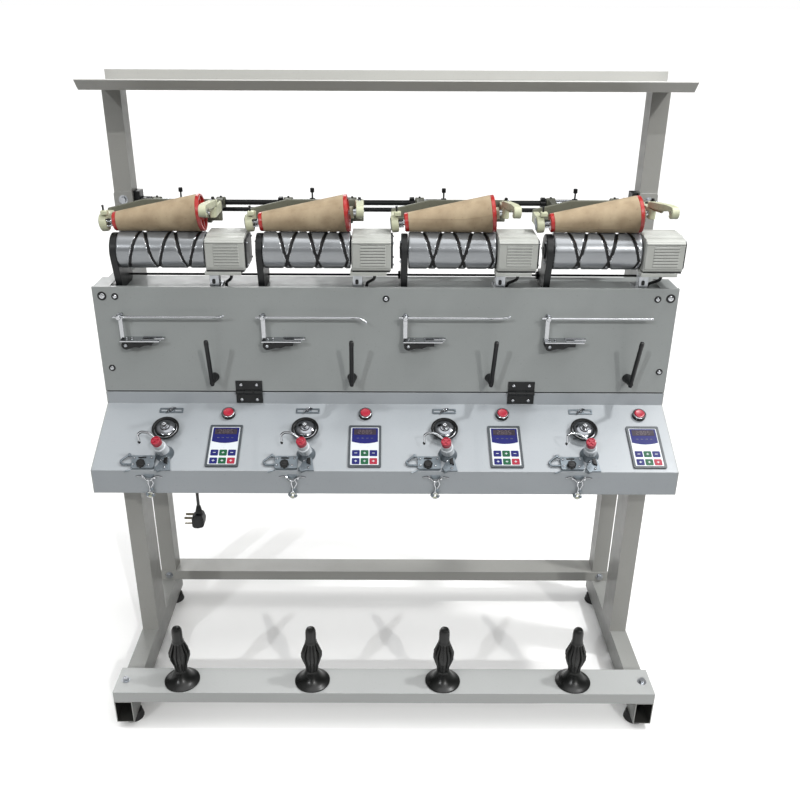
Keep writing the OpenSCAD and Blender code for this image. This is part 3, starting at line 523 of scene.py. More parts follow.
def piece(name, bm, mats, body, slot, *replaces, at=(0.0, 0.0, 0.0)):
    bmesh.ops.remove_doubles(bm, verts=bm.verts, dist=WELD)
    ob = link_object(name, mesh_of(name, bm, mats), [c * MM for c in at])
    ob.modifiers.new("flat_faces", "WEIGHTED_NORMAL").keep_sharp = True
    return ride(ob, body, slot, *replaces)


def head_pieces(*kinds):
    """For each head a piece of each kind, drawn by draw(bm, head) in place of a CAD node."""
    for i in HEADS:
        for name, mats, body, slot, node, draw in kinds:
            bm = bmesh.new()
            draw(bm, i)
            piece(f"{name}_{i}", bm, mats, f"{body}_{i}", slot, f"{node}_{i}",
                  at=(HEAD_X[i], 0.0, 0.0))


def shared_piece(name, mats, body, slot, draw, *replaces):
    """One piece for all heads, drawn by draw(bm, x) at the middle of each."""
    bm = bmesh.new()
    for i in HEADS:
        draw(bm, HEAD_X[i])
    piece(name, bm, mats, body, slot, *replaces)


def hex_screw(bm, at, r, mat, washer):
    """Washer and hexagon head; z of at points out of the surface."""
    solid(bm, [(r * 1.7, 0), (r * 1.7, 0.9), (r * 1.55, 1.2)], washer, at, 24)
    solid(bm, [(r * 1.1, 1.2), (r * 1.1, r * 0.8), (r * 0.85, r * 1.15)], mat, at, 6)


def dome_screw(bm, at, r=4.0, mat=0, washer=None):
    """Round head with a socket, with or without a washer."""
    if washer is not None:
        solid(bm, [(r * 1.6, 0), (r * 1.6, 0.8), (r * 1.3, 1.1)], washer, at, 24)
    lathe(bm, [(0, 0), (r, 0), (r, 1.4), (r * 0.9, 2.2), (r * 0.65, 2.9), (r * 0.35, 3.1),
               (r * 0.33, 2.0), (0, 1.8)], mat, at, 20)


# ---------- power cord: first, because its solids follow this route ----------

CORD_R = 3.5
GLAND_X, GLAND_Y = -236.0, -73.0
UPPER_Z, LOWER_Z = 596.5, 589.5  # the hank's two layers
HANK_X, HANK_Y, HANK_RUN = -327.5, -104.0, 105.0
HANK_IN, HANK_OUT = 24, 31  # radii of its inner and outer lap
LAP_POINTS, CORD_POINTS = 28, 360
DROP_X, DROP_Y, PLUG_Z = -428, -60, 478
LEAD_OUT = [(-291, -73, 589.5), (-297, -72.5, 589.5), (-303, -71.5, 589.5), (-309, -69.5, 589.5),
            (-315, -67.5, 589.5), (-321, -66, 589.5), (-327, -65, 590), (-334, -64, 591.5),
            (-342, -63, 594.5), (-350, -62, 599), (-357, -61, 604.5), (-363, -60.5, 610),
            (-369, -60, 615.5), (-376, -60, 621), (-384, -60, 625), (-393, -60, 626.5),
            (-402, -60, 625.5), (-410, -60, 622.5), (-417, -60, 617), (-423, -60, 610),
            (-426.5, -60, 602)]
LEAD_OUT += [(DROP_X, DROP_Y, z) for z in (593, 584, 566, 548, 530, 512, 496, PLUG_Z)]


def smooth_step(t):
    t = min(max(t, 0.0), 1.0)
    return t * t * (3 - 2 * t)


def hank_point(t, r, z):
    """A point t laps on from the start of the hank's back run, which goes left."""
    arc = math.pi * r
    s = (t % 1.0) * 2 * (HANK_RUN + arc)
    way = 1
    if s >= HANK_RUN + arc:
        s -= HANK_RUN + arc
        way = -1
    if s < HANK_RUN:
        return (HANK_X + way * (HANK_RUN / 2 - s), HANK_Y + way * r, z)
    a = way * math.pi / 2 + (s - HANK_RUN) / r
    return (HANK_X - way * HANK_RUN / 2 + r * math.cos(a), HANK_Y + r * math.sin(a), z)


def cord_route():
    """Gland, upper layer from outside in, lower layer from inside out, then the drop."""
    pts = [(GLAND_X - 10.0 * k, GLAND_Y, UPPER_Z) for k in range(4)]
    laps = ((HANK_OUT, HANK_IN, UPPER_Z, UPPER_Z), (HANK_IN, HANK_IN, UPPER_Z, LOWER_Z),
            (HANK_IN, HANK_OUT, LOWER_Z, LOWER_Z), (HANK_OUT, HANK_OUT, LOWER_Z, LOWER_Z))
    for k in range(1, len(laps) * LAP_POINTS):
        r0, r1, z0, z1 = laps[k // LAP_POINTS]
        t = k % LAP_POINTS / LAP_POINTS
        change = smooth_step((t - 0.66) / 0.34)
        pts.append(hank_point(t, r0 + (r1 - r0) * change, z0 + (z1 - z0) * change))
    return pts + [hank_point(0.0, HANK_OUT, LOWER_Z), (-283.0, GLAND_Y, LOWER_Z)] + LEAD_OUT


def resample(points, count):
    """Even points along the smooth curve through the points, and the curve's length."""
    pts = [Vector(p) for p in points]
    ext = [pts[0] * 2 - pts[1], *pts, pts[-1] * 2 - pts[-2]]
    fine = []
    for a, b, c, d in zip(ext, ext[1:], ext[2:], ext[3:]):
        for k in range(8):
            t = k / 8
            fine.append(0.5 * (2 * b + (c - a) * t + (2 * a - 5 * b + 4 * c - d) * t * t
                               + (3 * b - a - 3 * c + d) * t ** 3))
    fine.append(pts[-1])
    dist = [0.0]
    for a, b in zip(fine, fine[1:]):
        dist.append(dist[-1] + (b - a).length)
    out, k = [], 0
    for n in range(count):
        want = dist[-1] * n / (count - 1)
        while k < len(dist) - 2 and dist[k + 1] < want:
            k += 1
        f = (want - dist[k]) / max(dist[k + 1] - dist[k], 1e-9)
        out.append(fine[k].lerp(fine[k + 1], f))
    return out, dist[-1]


def make_cord():
    route, length = resample(cord_route(), CORD_POINTS)
    curve = bpy.data.curves.new("mains_cord", "CURVE")
    curve.dimensions = "3D"
    curve.bevel_depth = CORD_R * MM
    curve.bevel_resolution = 4
    curve.use_fill_caps = True
    line = curve.splines.new("POLY")
    line.points.add(len(route) - 1)
    for spot, p in zip(line.points, route):
        spot.co = (p.x * MM, p.y * MM, p.z * MM, 1.0)
    line.use_smooth = True
    curve.materials.append(M["cord"])
    ob = ride(link_object("mains_cord", curve), "stand", "black_rubber",
              "power_cord", "cord_hank")
    return ob, length


def make_ties():
    bm = bmesh.new()
    loop = ((36.7, 588), (36.9, 599), (26, 601.2), (22, 601), (18.2, 597), (18.2, 590),
            (22, 586.9), (34, 586.9), (36.7, 588))
    for x in (-318.0, -337.0):
        tube(bm, [(x, HANK_Y + y, z) for y, z in loop], 0.9, 0, seg=8)
    piece("hank_ties", bm, ["black"], "stand", "black_plastic")


def ribs(count, r, taper, z, rise, deep, *steps):
    """The profile of a tapered sleeve: ribs deep mm high, with steps along each of them."""
    out = []
    for k in range(count):
        rib, low = r - k * taper, z + k * rise
        out += [(rib, low), (rib, low + steps[0]), (rib - deep, low + steps[1]),
                (rib - deep, low + steps[2])]
    return out


def make_plug():
    bm = bmesh.new()
    grip = [(0, -24), (7.5, -24), (7.5, -22), (8.2, -20), (8.2, -17), (7.6, -15)]
    lathe(bm, [*grip, *ribs(5, 7.4, 0.62, -13.5, 2.6, 0.9, 1.3, 1.5, 2.4), (4.0, -0.2), (0, 0)], 0,
          move(DROP_X, DROP_Y, PLUG_Z), 28)
    shell = [(-8, -20), (7, -20), (9.5, -24), (12.6, -35), (12.4, -40), (10.6, -49), (8, -52.5),
             (-2, -55), (-11, -54.2), (-14.5, -52), (-16, -49), (-16, -29), (-14.5, -26.5),
             (-11, -24)]
    at = move(DROP_X, -46, PLUG_Z) @ TO_FRONT
    prism(bm, shell, 0, 28, 0, at, bevel=2.6, seg=3)
    inset = [(x * 0.72 - 0.8, z * 0.72 - 10.4) for x, z in shell]
    prism(bm, inset, 27.6, 28.6, 0, at, bevel=0.5)
    for k in range(4):
        prism(bm, round_rect(1.4, 15, 0.6, 3, 3.0 + k * 2.6, -37), 28.0, 29.0, 0, at, bevel=0.3)
    for y in (DROP_Y - 8.25, DROP_Y + 8.25):
        block(bm, (-461, y - 0.75, 446), (-443, y + 0.75, 452), 1, bevel=0.3)
    block(bm, (-463, -63, 429), (-443, -57, 430.5), 1, bevel=0.3)
    return piece("mains_plug", bm, ["black", "brass"], "stand", "black_plastic", "power_plug")


def make_strain_relief():
    bm = bmesh.new()
    boot = [(9, 0), (9, 3.5), (7.4, 4.2), *ribs(6, 7.0, 0.35, 4.6, 3.1, 0.8, 1.9, 2.1, 2.8),
            (4.6, 23.6), (3.6, 24.0)]
    solid(bm, boot, 0, move(-212, GLAND_Y, UPPER_Z) @ TO_LEFT, 28)
    lathe(bm, [(3.6, -2), (8.5, -2), (8.5, -0.2), (6.5, 0), (6.5, 2), (8.5, 2.2), (8.5, 4),
               (3.6, 4)], 0, move(DROP_X, DROP_Y, 584), 28)
    piece("cord_strain_relief", bm, ["rubber"], "stand", "black_rubber", "cord_gland")


# ---------- CAD nodes that keep their shape ----------

NODE_FINISH = {"skids": "skid", "rubber_feet": "rubber", "front_posts": "plain",
               "rear_posts": "plain", "upper_posts": "plain", "bobbin_board": "board",
               "rear_channel": "plain", "top_tray": "tray", "console_cover": "top",
               "end_plates": "grey", "head_frame": "grey", "control_box": "grey",
               "lower_hinge_leaves": "black_steel", "upper_hinge_leaves": "black_steel",
               "head_rods": "black_steel", "frame_bolts": "zinc", "front_panel": "grey",
               "button_collars": "black"}


def paint_nodes():
    for name, key in NODE_FINISH.items():
        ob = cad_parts[name]
        for k in range(len(ob.data.materials)):
            ob.data.materials[k] = M[key]
        if not ob.data.materials:
            ob.data.materials.append(M[key])


# ---------- heads ----------

DRUM_TURN = {1: 0.183, 2: 0.56, 3: 0.56, 4: 0.56}  # how far round each drum stands


def make_drum_mesh():
    """The roll with its crossing yarn groove, five turns round before it meets itself."""
    bm = bmesh.new()
    around, along = 144, 150
    left, right = -102.6, 76.6
    swing, middle, pitch = 78.0, -6.0, 62.4

    def spot(x, r, k):
        a = 2 * math.pi * k / around
        return bm.verts.new((x, -r * math.cos(a), -r * math.sin(a)))

    rows, depths = [], []
    for a in range(along + 1):
        x = left + (right - left) * a / along
        ends = min(x - left, right - x)
        row, sinks = [], []
        for k in range(around):
            near = 99.0
            for lap in range(5):
                t = (k / around + lap) % 5
                groove = pitch * t - swing if t < 2.5 else swing - pitch * (t - 2.5)
                near = min(near, abs(x - middle - groove))
            sinks.append(1 - smooth_step((near - 1.6) / 2.4))
            row.append(spot(x, 38.0 - 2.6 * sinks[-1] - max(2.0 - ends, 0.0) * 0.6, k))
        rows.append(row)
        depths.append(sinks)
    for a in range(along):
        for k in range(around):
            n = (k + 1) % around
            f = bm.faces.new((rows[a][k], rows[a][n], rows[a + 1][n], rows[a + 1][k]))
            # faces deep in the groove take the near-black finish, painted shade; those on its
            # walls take chrome
            sink_sum = depths[a][k] + depths[a][n] + depths[a + 1][n] + depths[a + 1][k]
            f.material_index = 1 if sink_sum > 2.0 else 2 if sink_sum > 0.5 else 0
    for rim, x, inner in ((rows[0], left, left + 3.5), (rows[-1], right, right - 3.5)):
        loops = [[spot(xx, r, k) for k in range(around)]
                 for r, xx in ((33.0, x), (31.0, inner), (13.0, inner), (8.0, inner))]
        for p, q in zip([rim, *loops], loops):
            for k in range(around):
                n = (k + 1) % around
                bm.faces.new((p[k], p[n], q[n], q[k]))
        bm.faces.new(loops[-1])
    bmesh.ops.recalc_face_normals(bm, faces=bm.faces)
    solid(bm, [(7.2, -118), (8, -117), (8, -99)], 0, ALONG_X, 32)
    solid(bm, [(8, 72), (8, 100), (7.2, 101)], 0, ALONG_X, 32)
    return mesh_of("drum_roll", bm, ["steel", "groove", "chrome"], DRUM_SHARP)


def make_drums():
    shape = make_drum_mesh()
    for i in HEADS:
        ob = link_object(f"yarn_drum_{i}", shape, (HEAD_X[i] * MM, DRUM_Y * MM, DRUM_Z * MM))
        ob.rotation_euler.x = 2 * math.pi * DRUM_TURN[i]
        ride(ob, f"drum_{i}", "bright_steel", f"drum_{i}")


def draw_bracket(bm, x):
    """A black cast plate that carries a drum's left end."""
    left, right = x - 118, x - 104.2
    outline = [*ring_of(35, 22, DRUM_Y, DRUM_Z, -14, 194), (-22, 1040), (-8, 990),
               (-7, BEAM_TOP), *ring_of(15, 14, 62, 990, -90, 96), (40, 1012), (36, 1040)]
    prism(bm, outline, left, right, 0, SIDE, bevel=1.6, seg=3)
    at = move(left, DRUM_Y, DRUM_Z) @ TO_LEFT
    lathe(bm, [(0, 0), (17, 0), (17, 1.6), (15.5, 2.6), (9, 2.6), (9, 1.2), (0, 1.2)], 0, at, 32)
    for k in range(3):
        dome_screw(bm, at @ move(*polar(24, 90 + 120 * k)), 2.6, 1)
    solid(bm, [(9, 0), (9, 4), (7.5, 5)], 0, move(left, 62, 990) @ TO_LEFT, 6)
    lathe(bm, [(8.4, 0), (13, 0), (13, 1.0), (8.4, 1.0)], 1,
          move(right, DRUM_Y, DRUM_Z) @ ALONG_X, 32)
    block(bm, (x - 117.5, -9, BEAM_TOP), (x - 104.5, 46, BEAM_TOP + 6), 0, bevel=1.2)


def draw_motor(bm, x):
    """The motor at a drum's right end, on its foot."""
    # left, right, front, back, bottom and top of the body
    l, r, f, b, lo, hi = x + 81, x + 161, -33.0, 53.0, 1024.5, 1091.5
    side = [(f + 3, lo), (b - 2, lo), (b, lo + 3), (b, hi), (b - 3, hi + 3), (f + 26, hi + 3),
            (f + 23, hi + 0.8), (f + 9, hi + 0.8), (f + 2, hi - 3), (f, hi - 7), (f, lo + 3)]
    prism(bm, side, l, r, 0, SIDE, bevel=1.1)
    # front cover with its louvres between two plain cheeks
    face = round_rect(r - l - 1.6, hi - lo - 17, 2.5, 3, (l + r) / 2, (lo + hi) / 2 - 1.5)
    prism(bm, face, 32.0, 35.0, 0, TO_FRONT, bevel=1.0)
    # black plate behind the louvres: painted shade in the gaps between them
    block(bm, (l + 17, f - 2.3, lo + 11.6), (r - 12, f - 1.4, hi - 11.6), 1, bevel=0.2)
    for k in range(7):
        z = lo + 12 + k * 6.2
        block(bm, (l + 16.6, f - 3.2, z), (r - 11.6, f - 1.6, z + 5.2), 0, bevel=0.7)
    block(bm, (l + 0.2, f - 2.6, hi - 9.6), (r - 0.2, f + 3, hi - 5.4), 0, bevel=1.8, seg=3)
    for y in (f + 30, f + 41, f + 52, f + 63):
        block(bm, (l + 0.8, y, hi + 2), (r - 0.8, y + 5, hi + 4), 0, bevel=0.6)
    # black slab between the body and the ledge under it: painted shade in the crease there
    block(bm, (l + 0.6, f - 0.6, lo - 1.8), (r - 2, b - 4, lo + 0.8), 1, bevel=0.2)
    block(bm, (l - 4, f - 2.0, lo - 9.4), (r - 9, f + 26, lo - 1.4), 0, bevel=1.0)
    block(bm, (l - 1.2, f + 1, lo + 2), (l + 2.5, b - 1, hi - 2), 0, bevel=1.2)
    lathe(bm, [(9, -3), (30, -3), (31, -2), (31, 2), (9, 2)], 1,
          move(l, DRUM_Y, DRUM_Z) @ ALONG_X, 40)
    # dark end cap with its chamfered corners
    cap = [(f + 4, lo + 8), (f + 9, lo + 3.5), (b - 11, lo + 3.5), (b - 6, lo + 9),
           (b - 6, hi - 9), (b - 12, hi - 3.5), (f + 10, hi - 3.5), (f + 4, hi - 8)]
    prism(bm, cap, r - 1, x + 165, 1, SIDE, bevel=1.6, seg=3)
    for y, z in ((f + 13, lo + 11), (b - 13, lo + 11), (b - 13, hi - 11), (f + 13, hi - 11)):
        dome_screw(bm, move(x + 164.4, y, z) @ ALONG_X, 2.2, 2)
    # plated foot, bolted to the beam
    foot = [(-12, BEAM_TOP), (10, BEAM_TOP), (10, 1026), (-12, 1026)]
    prism(bm, foot, l, l + 20, 2, SIDE, bevel=1.0)
    block(bm, (l, -12, BEAM_TOP), (l + 20, 50, BEAM_TOP + 4), 2)
    block(bm, (l - 2.5, -13.2, 1019), (l + 23, 20, 1025), 0, bevel=1.0)
    prism(bm, round_rect(7, 11, 3.2, 5, l + 9, 996), 12.0, 13.1, 1, TO_FRONT, bevel=0.3)
    hex_screw(bm, move(l + 10, 36, BEAM_TOP + 4), 4.0, 2, 2)
    # moulded lead elbow under the motor
    solid(bm, [(7, 0), (7, 4), (5.5, 6), (5.2, 12), (4.2, 13)], 1,
          move(l + 46, -8, lo + 0.5) @ turn("X", 180), 24)
    tube(bm, bent([(l + 46, -8, lo - 10), (l + 46, -8, lo - 22), (l + 38, 2, lo - 30),
                   (l + 30, 16, lo - 38), (l + 28, 24, lo - 50)], 9), 3.2, 1, seg=12)


CONE_SMALL, CONE_BIG, CONE_LONG = 20.0, 37.868, 170.0


def cone_r(z):
    return CONE_SMALL + (CONE_BIG - CONE_SMALL) * z / CONE_LONG


def draw_cone(bm, i):
    """Paper cone, hollow, its thickness 2 mm."""
    profile = [(CONE_SMALL - 0.5, 0)]
    profile += [(cone_r(z), z) for z in (0.5, 12, 40, 70, 100, 130, 155, 169.4)]
    profile += [(CONE_BIG - 0.6, 170), (CONE_BIG - 2, 169.8)]
    profile += [(cone_r(z) - 2, z) for z in (150, 100, 50, 10)] + [(CONE_SMALL - 2, 0.2)]
    lathe(bm, profile, 0, CONE, 72)
    # the lap of the wound paper, a thin step that runs round the cone
    verts, faces = [], []
    for k in range(49):
        z = 3 + 164 * k / 48
        a = math.radians(118 + 26 * math.sin(k / 48 * 2.2) + 40 * i)
        for da, dr in ((0.0, 0.32), (0.05, 0.3), (0.16, -0.25), (0.0, -0.3)):
            r = cone_r(z) + dr
            verts.append((r * math.cos(a + da), r * math.sin(a + da), z))
        if k:
            faces += [(4 * k - 4 + s, 4 * k - 4 + (s + 1) % 4, 4 * k + (s + 1) % 4, 4 * k + s)
                      for s in range(4)]
    add(bm, verts, faces + [(3, 2, 1, 0), (192, 193, 194, 195)], 0, CONE)


def draw_chucks(bm, i):
    """The red chucks at the cone's two ends, with their pins."""
    lathe(bm, [(6, -8), (17.6, -8), (19.2, -6.6), (19.9, -0.4), (17.9, 0.1), (19.2, 12.6),
               (18.6, 13), (6, 13)], 0, CONE, 56)
    solid(bm, [(5.2, -32), (6, -31), (6, -7), (6, 12)], 1, CONE, 28)
    lathe(bm, [(30.5, 170.1), (37.2, 170.1), (37.86, 171), (37.86, 177), (36.8, 178),
               (33.5, 178), (33, 173.5), (30.5, 173.5)], 0, CONE, 64)
    lathe(bm, [(15, 156.9), (34.3, 157), (35.6, 169.6), (31, 170.3), (30.6, 172.8),
               (15, 172.8)], 0, CONE, 56)
    lathe(bm, [(6, 160), (15.2, 160), (15.2, 176.5), (14.2, 177.8), (6, 177.8)], 0, CONE, 40)
    for k in range(6):
        block(bm, (13.5, -2, 172), (34, 2, 176.4), 0, CONE @ turn("Z", 60 * k))
    solid(bm, [(6, 161), (6, 203), (5.2, 204)], 1, CONE, 28)
    for k in range(6):
        x, y = polar(16.5, 60 * k + 30)
        block(bm, (x - 1.2, y - 1.2, -8.8), (x + 1.2, y + 1.2, -7), 0, CONE, bevel=0.3)


def draw_cradle(bm, i):
    """Cream casting that holds the cone and swings on the rear shaft."""
    left, right, yoke = -138.89, 89.02, 66.868
    arm_z, low = 1137.06, 1105.36
    # boss at the small end, hollow in front, with its web and lugs
    lathe(bm, [(SHAFT_HOLE, -36), (15.4, -36), (17.6, -34.8), (18.2, -32.5), (18.2, -23.5),
               (17.4, -21.4), (14.5, -20.4), (12.5, -22.8), (9, -22.8), (8.4, -20.4),
               (SHAFT_HOLE, -20.4)], 0, CONE, 48)
    lathe(bm, [(0, -37.6), (4, -37.6), (4.6, -37), (7, -37), (7.4, -37.6), (12.2, -37.6),
               (13.2, -36.8), (13.2, -35.6), (0, -35.6)], 5, CONE, 40)
    for k in range(3):
        at = CONE @ turn("Z", 120 * k + 40) @ move(0, 0, -24)
        block(bm, (8, -1.6, 0), (16, 1.6, 3.2), 0, at, bevel=0.5)
    arm = [(-137.9, 15), (-125.5, 15), (-124.9, 40), (-124.9, 74), (-138.9, 74), (-138.9, 40)]
    prism(bm, arm, low, low + 22, 0, bevel=2.4, seg=3)
    block(bm, (-133, -2, 1131.5), (-119, 12, 1140.5), 0, bevel=1.8, seg=3)
    tube(bm, [(-128, 5, 1138), (-128, 5, 1147), (-128.6, 4.6, 1151)], [2.0, 2.0, 2.6], 1)
    for y, z in ((3.5, 1119.5), (3.5, 1110.0)):
        tube(bm, [(-124.5, y, z - 1.5), (-112.2, y, z - 0.3)], 1.7, 2)
        tube(bm, [(-124.5, y - 2, z + 2.6), (-114, y - 2, z + 3.6)], 1.5, 1)
    # plate behind the cone with its sloping upper edge, in the darkened cream of painted shade
    plate = [(left, low), (right + 14, low), (right + 14, 1151.06), (left + 80, 1151.06),
             (left, low + 26)]
    prism(bm, plate, -73.868, -yoke, 3, TO_FRONT, bevel=1.8, seg=3)
    rib = [(left + 6, low + 4), (right + 8, low + 4), (right + 8, low + 9), (left + 6, low + 9)]
    prism(bm, rib, -67.2, -64.6, 3, TO_FRONT, bevel=0.8)
    # arm at the big end
    outline = [(right, 6), (right + 3, 1.6), (right + 11, 1), (right + 14, 5), (right + 14, 74),
               (right, 74)]
    prism(bm, outline, arm_z - 11, arm_z + 11, 0, bevel=2.2, seg=3)
    lathe(bm, [(SHAFT_HOLE, 180.2), (11, 180.2), (12, 181.2), (12, 187), (SHAFT_HOLE, 187)], 0,
          CONE, 32)
    for y in (24, 56):
        dome_screw(bm, move(right + 7, y, arm_z + 11), 3.2, 1)
    # rear arms with their hubs on the shaft, in the darkened cream of painted shade
    web = [(yoke, 1101), (yoke + 8, 1101), (214, 1101.5), (SHAFT_Y, 1101), (SHAFT_Y, 1123),
           (214, 1122.5), (yoke + 8, 1123), (yoke, 1123)]
    for x in (-80.0, 66.0):
        prism(bm, web, x, x + 14, 3, SIDE, bevel=1.6)
        lathe(bm, [(SHAFT_HOLE, x - 3), (11, x - 3), (12, x - 2), (12, x + 16), (11, x + 17),
                   (SHAFT_HOLE, x + 17)], 3, SHAFT, 36)
        dome_screw(bm, move(x + 7, SHAFT_Y, 1123.6), 2.6, 1)
    # grey sleeve on the rear shaft between a black block and the pin with its knob
    lathe(bm, [(SHAFT_HOLE, -62.8), (8.4, -62.8), (8.6, -62), (8.6, -25), (8.4, -24),
               (SHAFT_HOLE, -24)], 4, SHAFT, 28)
    prism(bm, ring_of(8.8, 20, SHAFT_Y, SHAFT_Z, 20, 340), -96.5, -84.5, 1, SIDE, bevel=0.8)
    block(bm, (-96, 218, 1119), (-85, 234, 1124), 1, bevel=1.4)
    lathe(bm, [(SHAFT_HOLE, -23.8), (9.6, -23.8), (10.4, -23), (10.4, -13), (9.6, -12),
               (SHAFT_HOLE, -12)], 1, SHAFT, 28)
    tube(bm, [(-18, SHAFT_Y, 1120), (-18, SHAFT_Y, 1136)], 2.2, 2)
    solid(bm, [(3.8, 0), (4.8, 1.2), (4.8, 8.4), (3.8, 10)], 1, move(-18, SHAFT_Y, 1135), 24)


def draw_handle(bm, i):
    """Curved lever that reaches forward beside the cone, with a rounded grip."""
    reach, rise, grip = 140.0, 17.0, 12.0
    far = reach - grip
    at = move(96.02, 15, 1148.563) @ turn("Z", -88)
    solid(bm, [(8.4, 0), (9, 0.8), (9, 11), (8, 12)], 0, at, 32)
    solid(bm, [(3, -4), (3, 0.5)], 1, at, 20)
    side = [(-6, 11.8), (-6, 0.3), (20, 1.8), (60, 7.0), (94, 12.2)]
    side += [polar(14, a, reach - 30, rise - 13) for a in (110, 90, 70, 50, 32)]
    side += [polar(grip, a, far, rise) for a in range(216, 442, 18)]
    prism(bm, side + [(100, 26.4), (50, 19.4)], -7.2, 7.2, 0, at @ TO_FRONT, bevel=2.4, seg=3)
    # stiffening web under the bar, pivot bolt, stop screw and the grip's rivet
    prism(bm, [(8, 0.6), (70, 7.6), (62, 1.6), (18, -3.4)], -1.8, 1.8, 0, at @ TO_FRONT,
          bevel=0.7)
    solid(bm, [(5.4, 12), (5.4, 14), (3.6, 14.6), (3.6, 17.4), (2.8, 18.4)], 2, at, 6)
    dome_screw(bm, at @ move(24, 0, 15.0), 2.6, 1)
    solid(bm, [(3.6, -8), (3.6, 8)], 1, at @ move(far, 0, rise) @ TO_FRONT, 20)


# ---------- yarn path on the panel ----------

TIP_RISE = {1: 2.5, 2: -9.0, 3: 2.5, 4: 0.0}  # how far each feeler's end is bent up


def draw_feeler(bm, i):
    at = move(FEELER_X, -46, FEELER_Z)
    lathe(bm, [(3.05, -4), (4.6, -4), (5.2, -3.2), (5.2, 3.2), (4.6, 4), (3.05, 4)], 1,
          at @ turn("X", -90), 28)
    tip = TIP_RISE[i]
    tube(bm, [(-10, 0, 0), (4, 0, 0), (200, 0, 0), (206, 0, tip * 0.2), (217, 0, tip)], 2.5, 0,
         at, 16)
    lathe(bm, [(0, 0), (2.4, 0), (2.9, 0.8), (2.9, 3.2), (2.2, 4.4), (0, 4.6)], 1,
          at @ move(215.5, 0, tip) @ turn("Y", 90 - tip * 3), 18)
    lathe(bm, [(0, 0), (2.6, 0.2), (2.6, 3.6), (0, 4)], 0, at @ move(-13.8) @ ALONG_X, 16)


def draw_feeler_bracket(bm, head_x):
    """Upright strip with an eye, forked shelf and the black switch body under it."""
    x = head_x + FEELER_X
    at = move(x, 0, FEELER_Z) @ TO_FRONT
    eye = ring_of(7.2, 18, 0, 0, -52, 232)
    prism(bm, [(-3.9, -53.8), (4.4, -53.8), *eye], 38.1, 41.0, 0, at, bevel=0.5)
    solid(bm, [(3, 24), (3, 52), (5, 52), (5, 53.2), (4.2, 54)], 0, at, 24)
    shelf = [(-4, -24.1), (-4, -52), (79, -52), (80, -51), (80, -41.5), (79, -41), (45, -41),
             (42.5, -39), (42.5, -36), (45, -34), (86, -34), (87, -33), (87, -24.1)]
    prism(bm, shelf, 874.1, 877, 0, move(x), bevel=0.5)
    for y in (-29.2, -46.6):
        prism(bm, round_rect(44, 4.4, 2, 4, 62, y), 876.9, 878.8, 0, move(x))
    for u in (8, 19):
        dome_screw(bm, move(x + u, -38, 877), 2.6, 0)
    body = [*ring_of(9.4, 14, 7, 865, 92, 300), (24, 860.5), (36, 859.8), (46, 864.4),
            (62, 865), (62, 874.3), (4, 874.3)]
    prism(bm, body, 26, 47.5, 2, move(x) @ TO_FRONT, bevel=1.2, seg=3)
    dome_screw(bm, move(x + 7, -47.4, 865) @ TO_FRONT, 3.6, 1)
    block(bm, (x + 26, -49.2, 867), (x + 54, -47, 871.5), 2)


def draw_lever(bm, i):
    """Black rod that stands up from a conical stub on the panel."""
    at = move(LEVER_X, 0, LEVER_Z)
    lathe(bm, [(0, 24.6), (9.5, 24.6), (9.5, 27.5), (8.8, 33), (6.4, 52), (5.4, 58),
               (4.6, 62.5), (2.6, 64), (0, 64.3)], 0, at @ TO_FRONT, 36)
    solid(bm, [(4, -8), (4, 25)], 0, at @ TO_FRONT, 20)
    rod = at @ move(0, -59, 0) @ turn("Y", 1) @ turn("X", 18)
    tube(bm, [(0, 0, -8.4), (0, 0, -7.4), (0, 0, -5), (0, 0, 102), (0, 0, 103.5)],
         [2.6, 4.0, 4.7, 4.6, 4.2], 0, rod, 24)
    lathe(bm, [(0, 101.6), (4.4, 101.6), (4.9, 103), (4.9, 110.5), (4.2, 113.6), (2.4, 114.6),
               (0, 114.8)], 0, rod, 28)
    lathe(bm, [(4.7, 27), (9.9, 27), (10.3, 27.8), (9.9, 28.8), (4.7, 28.8)], 1, at @ TO_FRONT,
          36)


def make_panel_hardware():
    """Screws of the front panel and of its hinges' leaves, and a dark strip under its edge that is
    painted shade in the gap there.
    """
    panel, strip = bmesh.new(), bmesh.new()
    for x, z in ((-595, 967), (-568, 966), (1, 963), (572, 964), (599, 966), (-594, 804),
                 (597, 799)):
        big = 6.0 if abs(x) > 590 and z > 900 else 4.6
        dome_screw(panel, move(x, -24, z) @ TO_FRONT, big, 0, 1)
    for x in (-316, -282, 282, 316):
        dome_screw(panel, move(x, -27, 766) @ TO_FRONT)
        dome_screw(strip, move(x, -27, 731) @ TO_FRONT)
    # dark strip behind the gap under the panel's edge: painted shade, not a part
    block(strip, (-612, -21.4, 742), (612, -20.2, 758), 1, bevel=0.2)
    for bm, name, body in ((panel, "panel_screws", "panel"), (strip, "strip_screws", "stand")):
        piece(name, bm, ["chrome", "black_steel"], body, "bright_steel")


# ---------- yarn path on the slope ----------

def draw_guide_plate(bm, at):
    """Slotted plate with its knotted eye."""
    prism(bm, round_rect(52, 13, 2, 4), 0.2, 2.2, 3, at, bevel=0.4,
          holes=[round_rect(16, 6, 2.6, 4, x, 0) for x in (-15, 15)])
    tube(bm, bent([(-9, -7, 2), (-4, -1, 7), (3, 3, 8), (9, 5, 3)], 4), 1.9, 5, at, 12)
    lathe(bm, [(0, 2), (4.4, 2), (4.4, 4.4), (3, 6), (0, 6.2)], 0, at, 22)


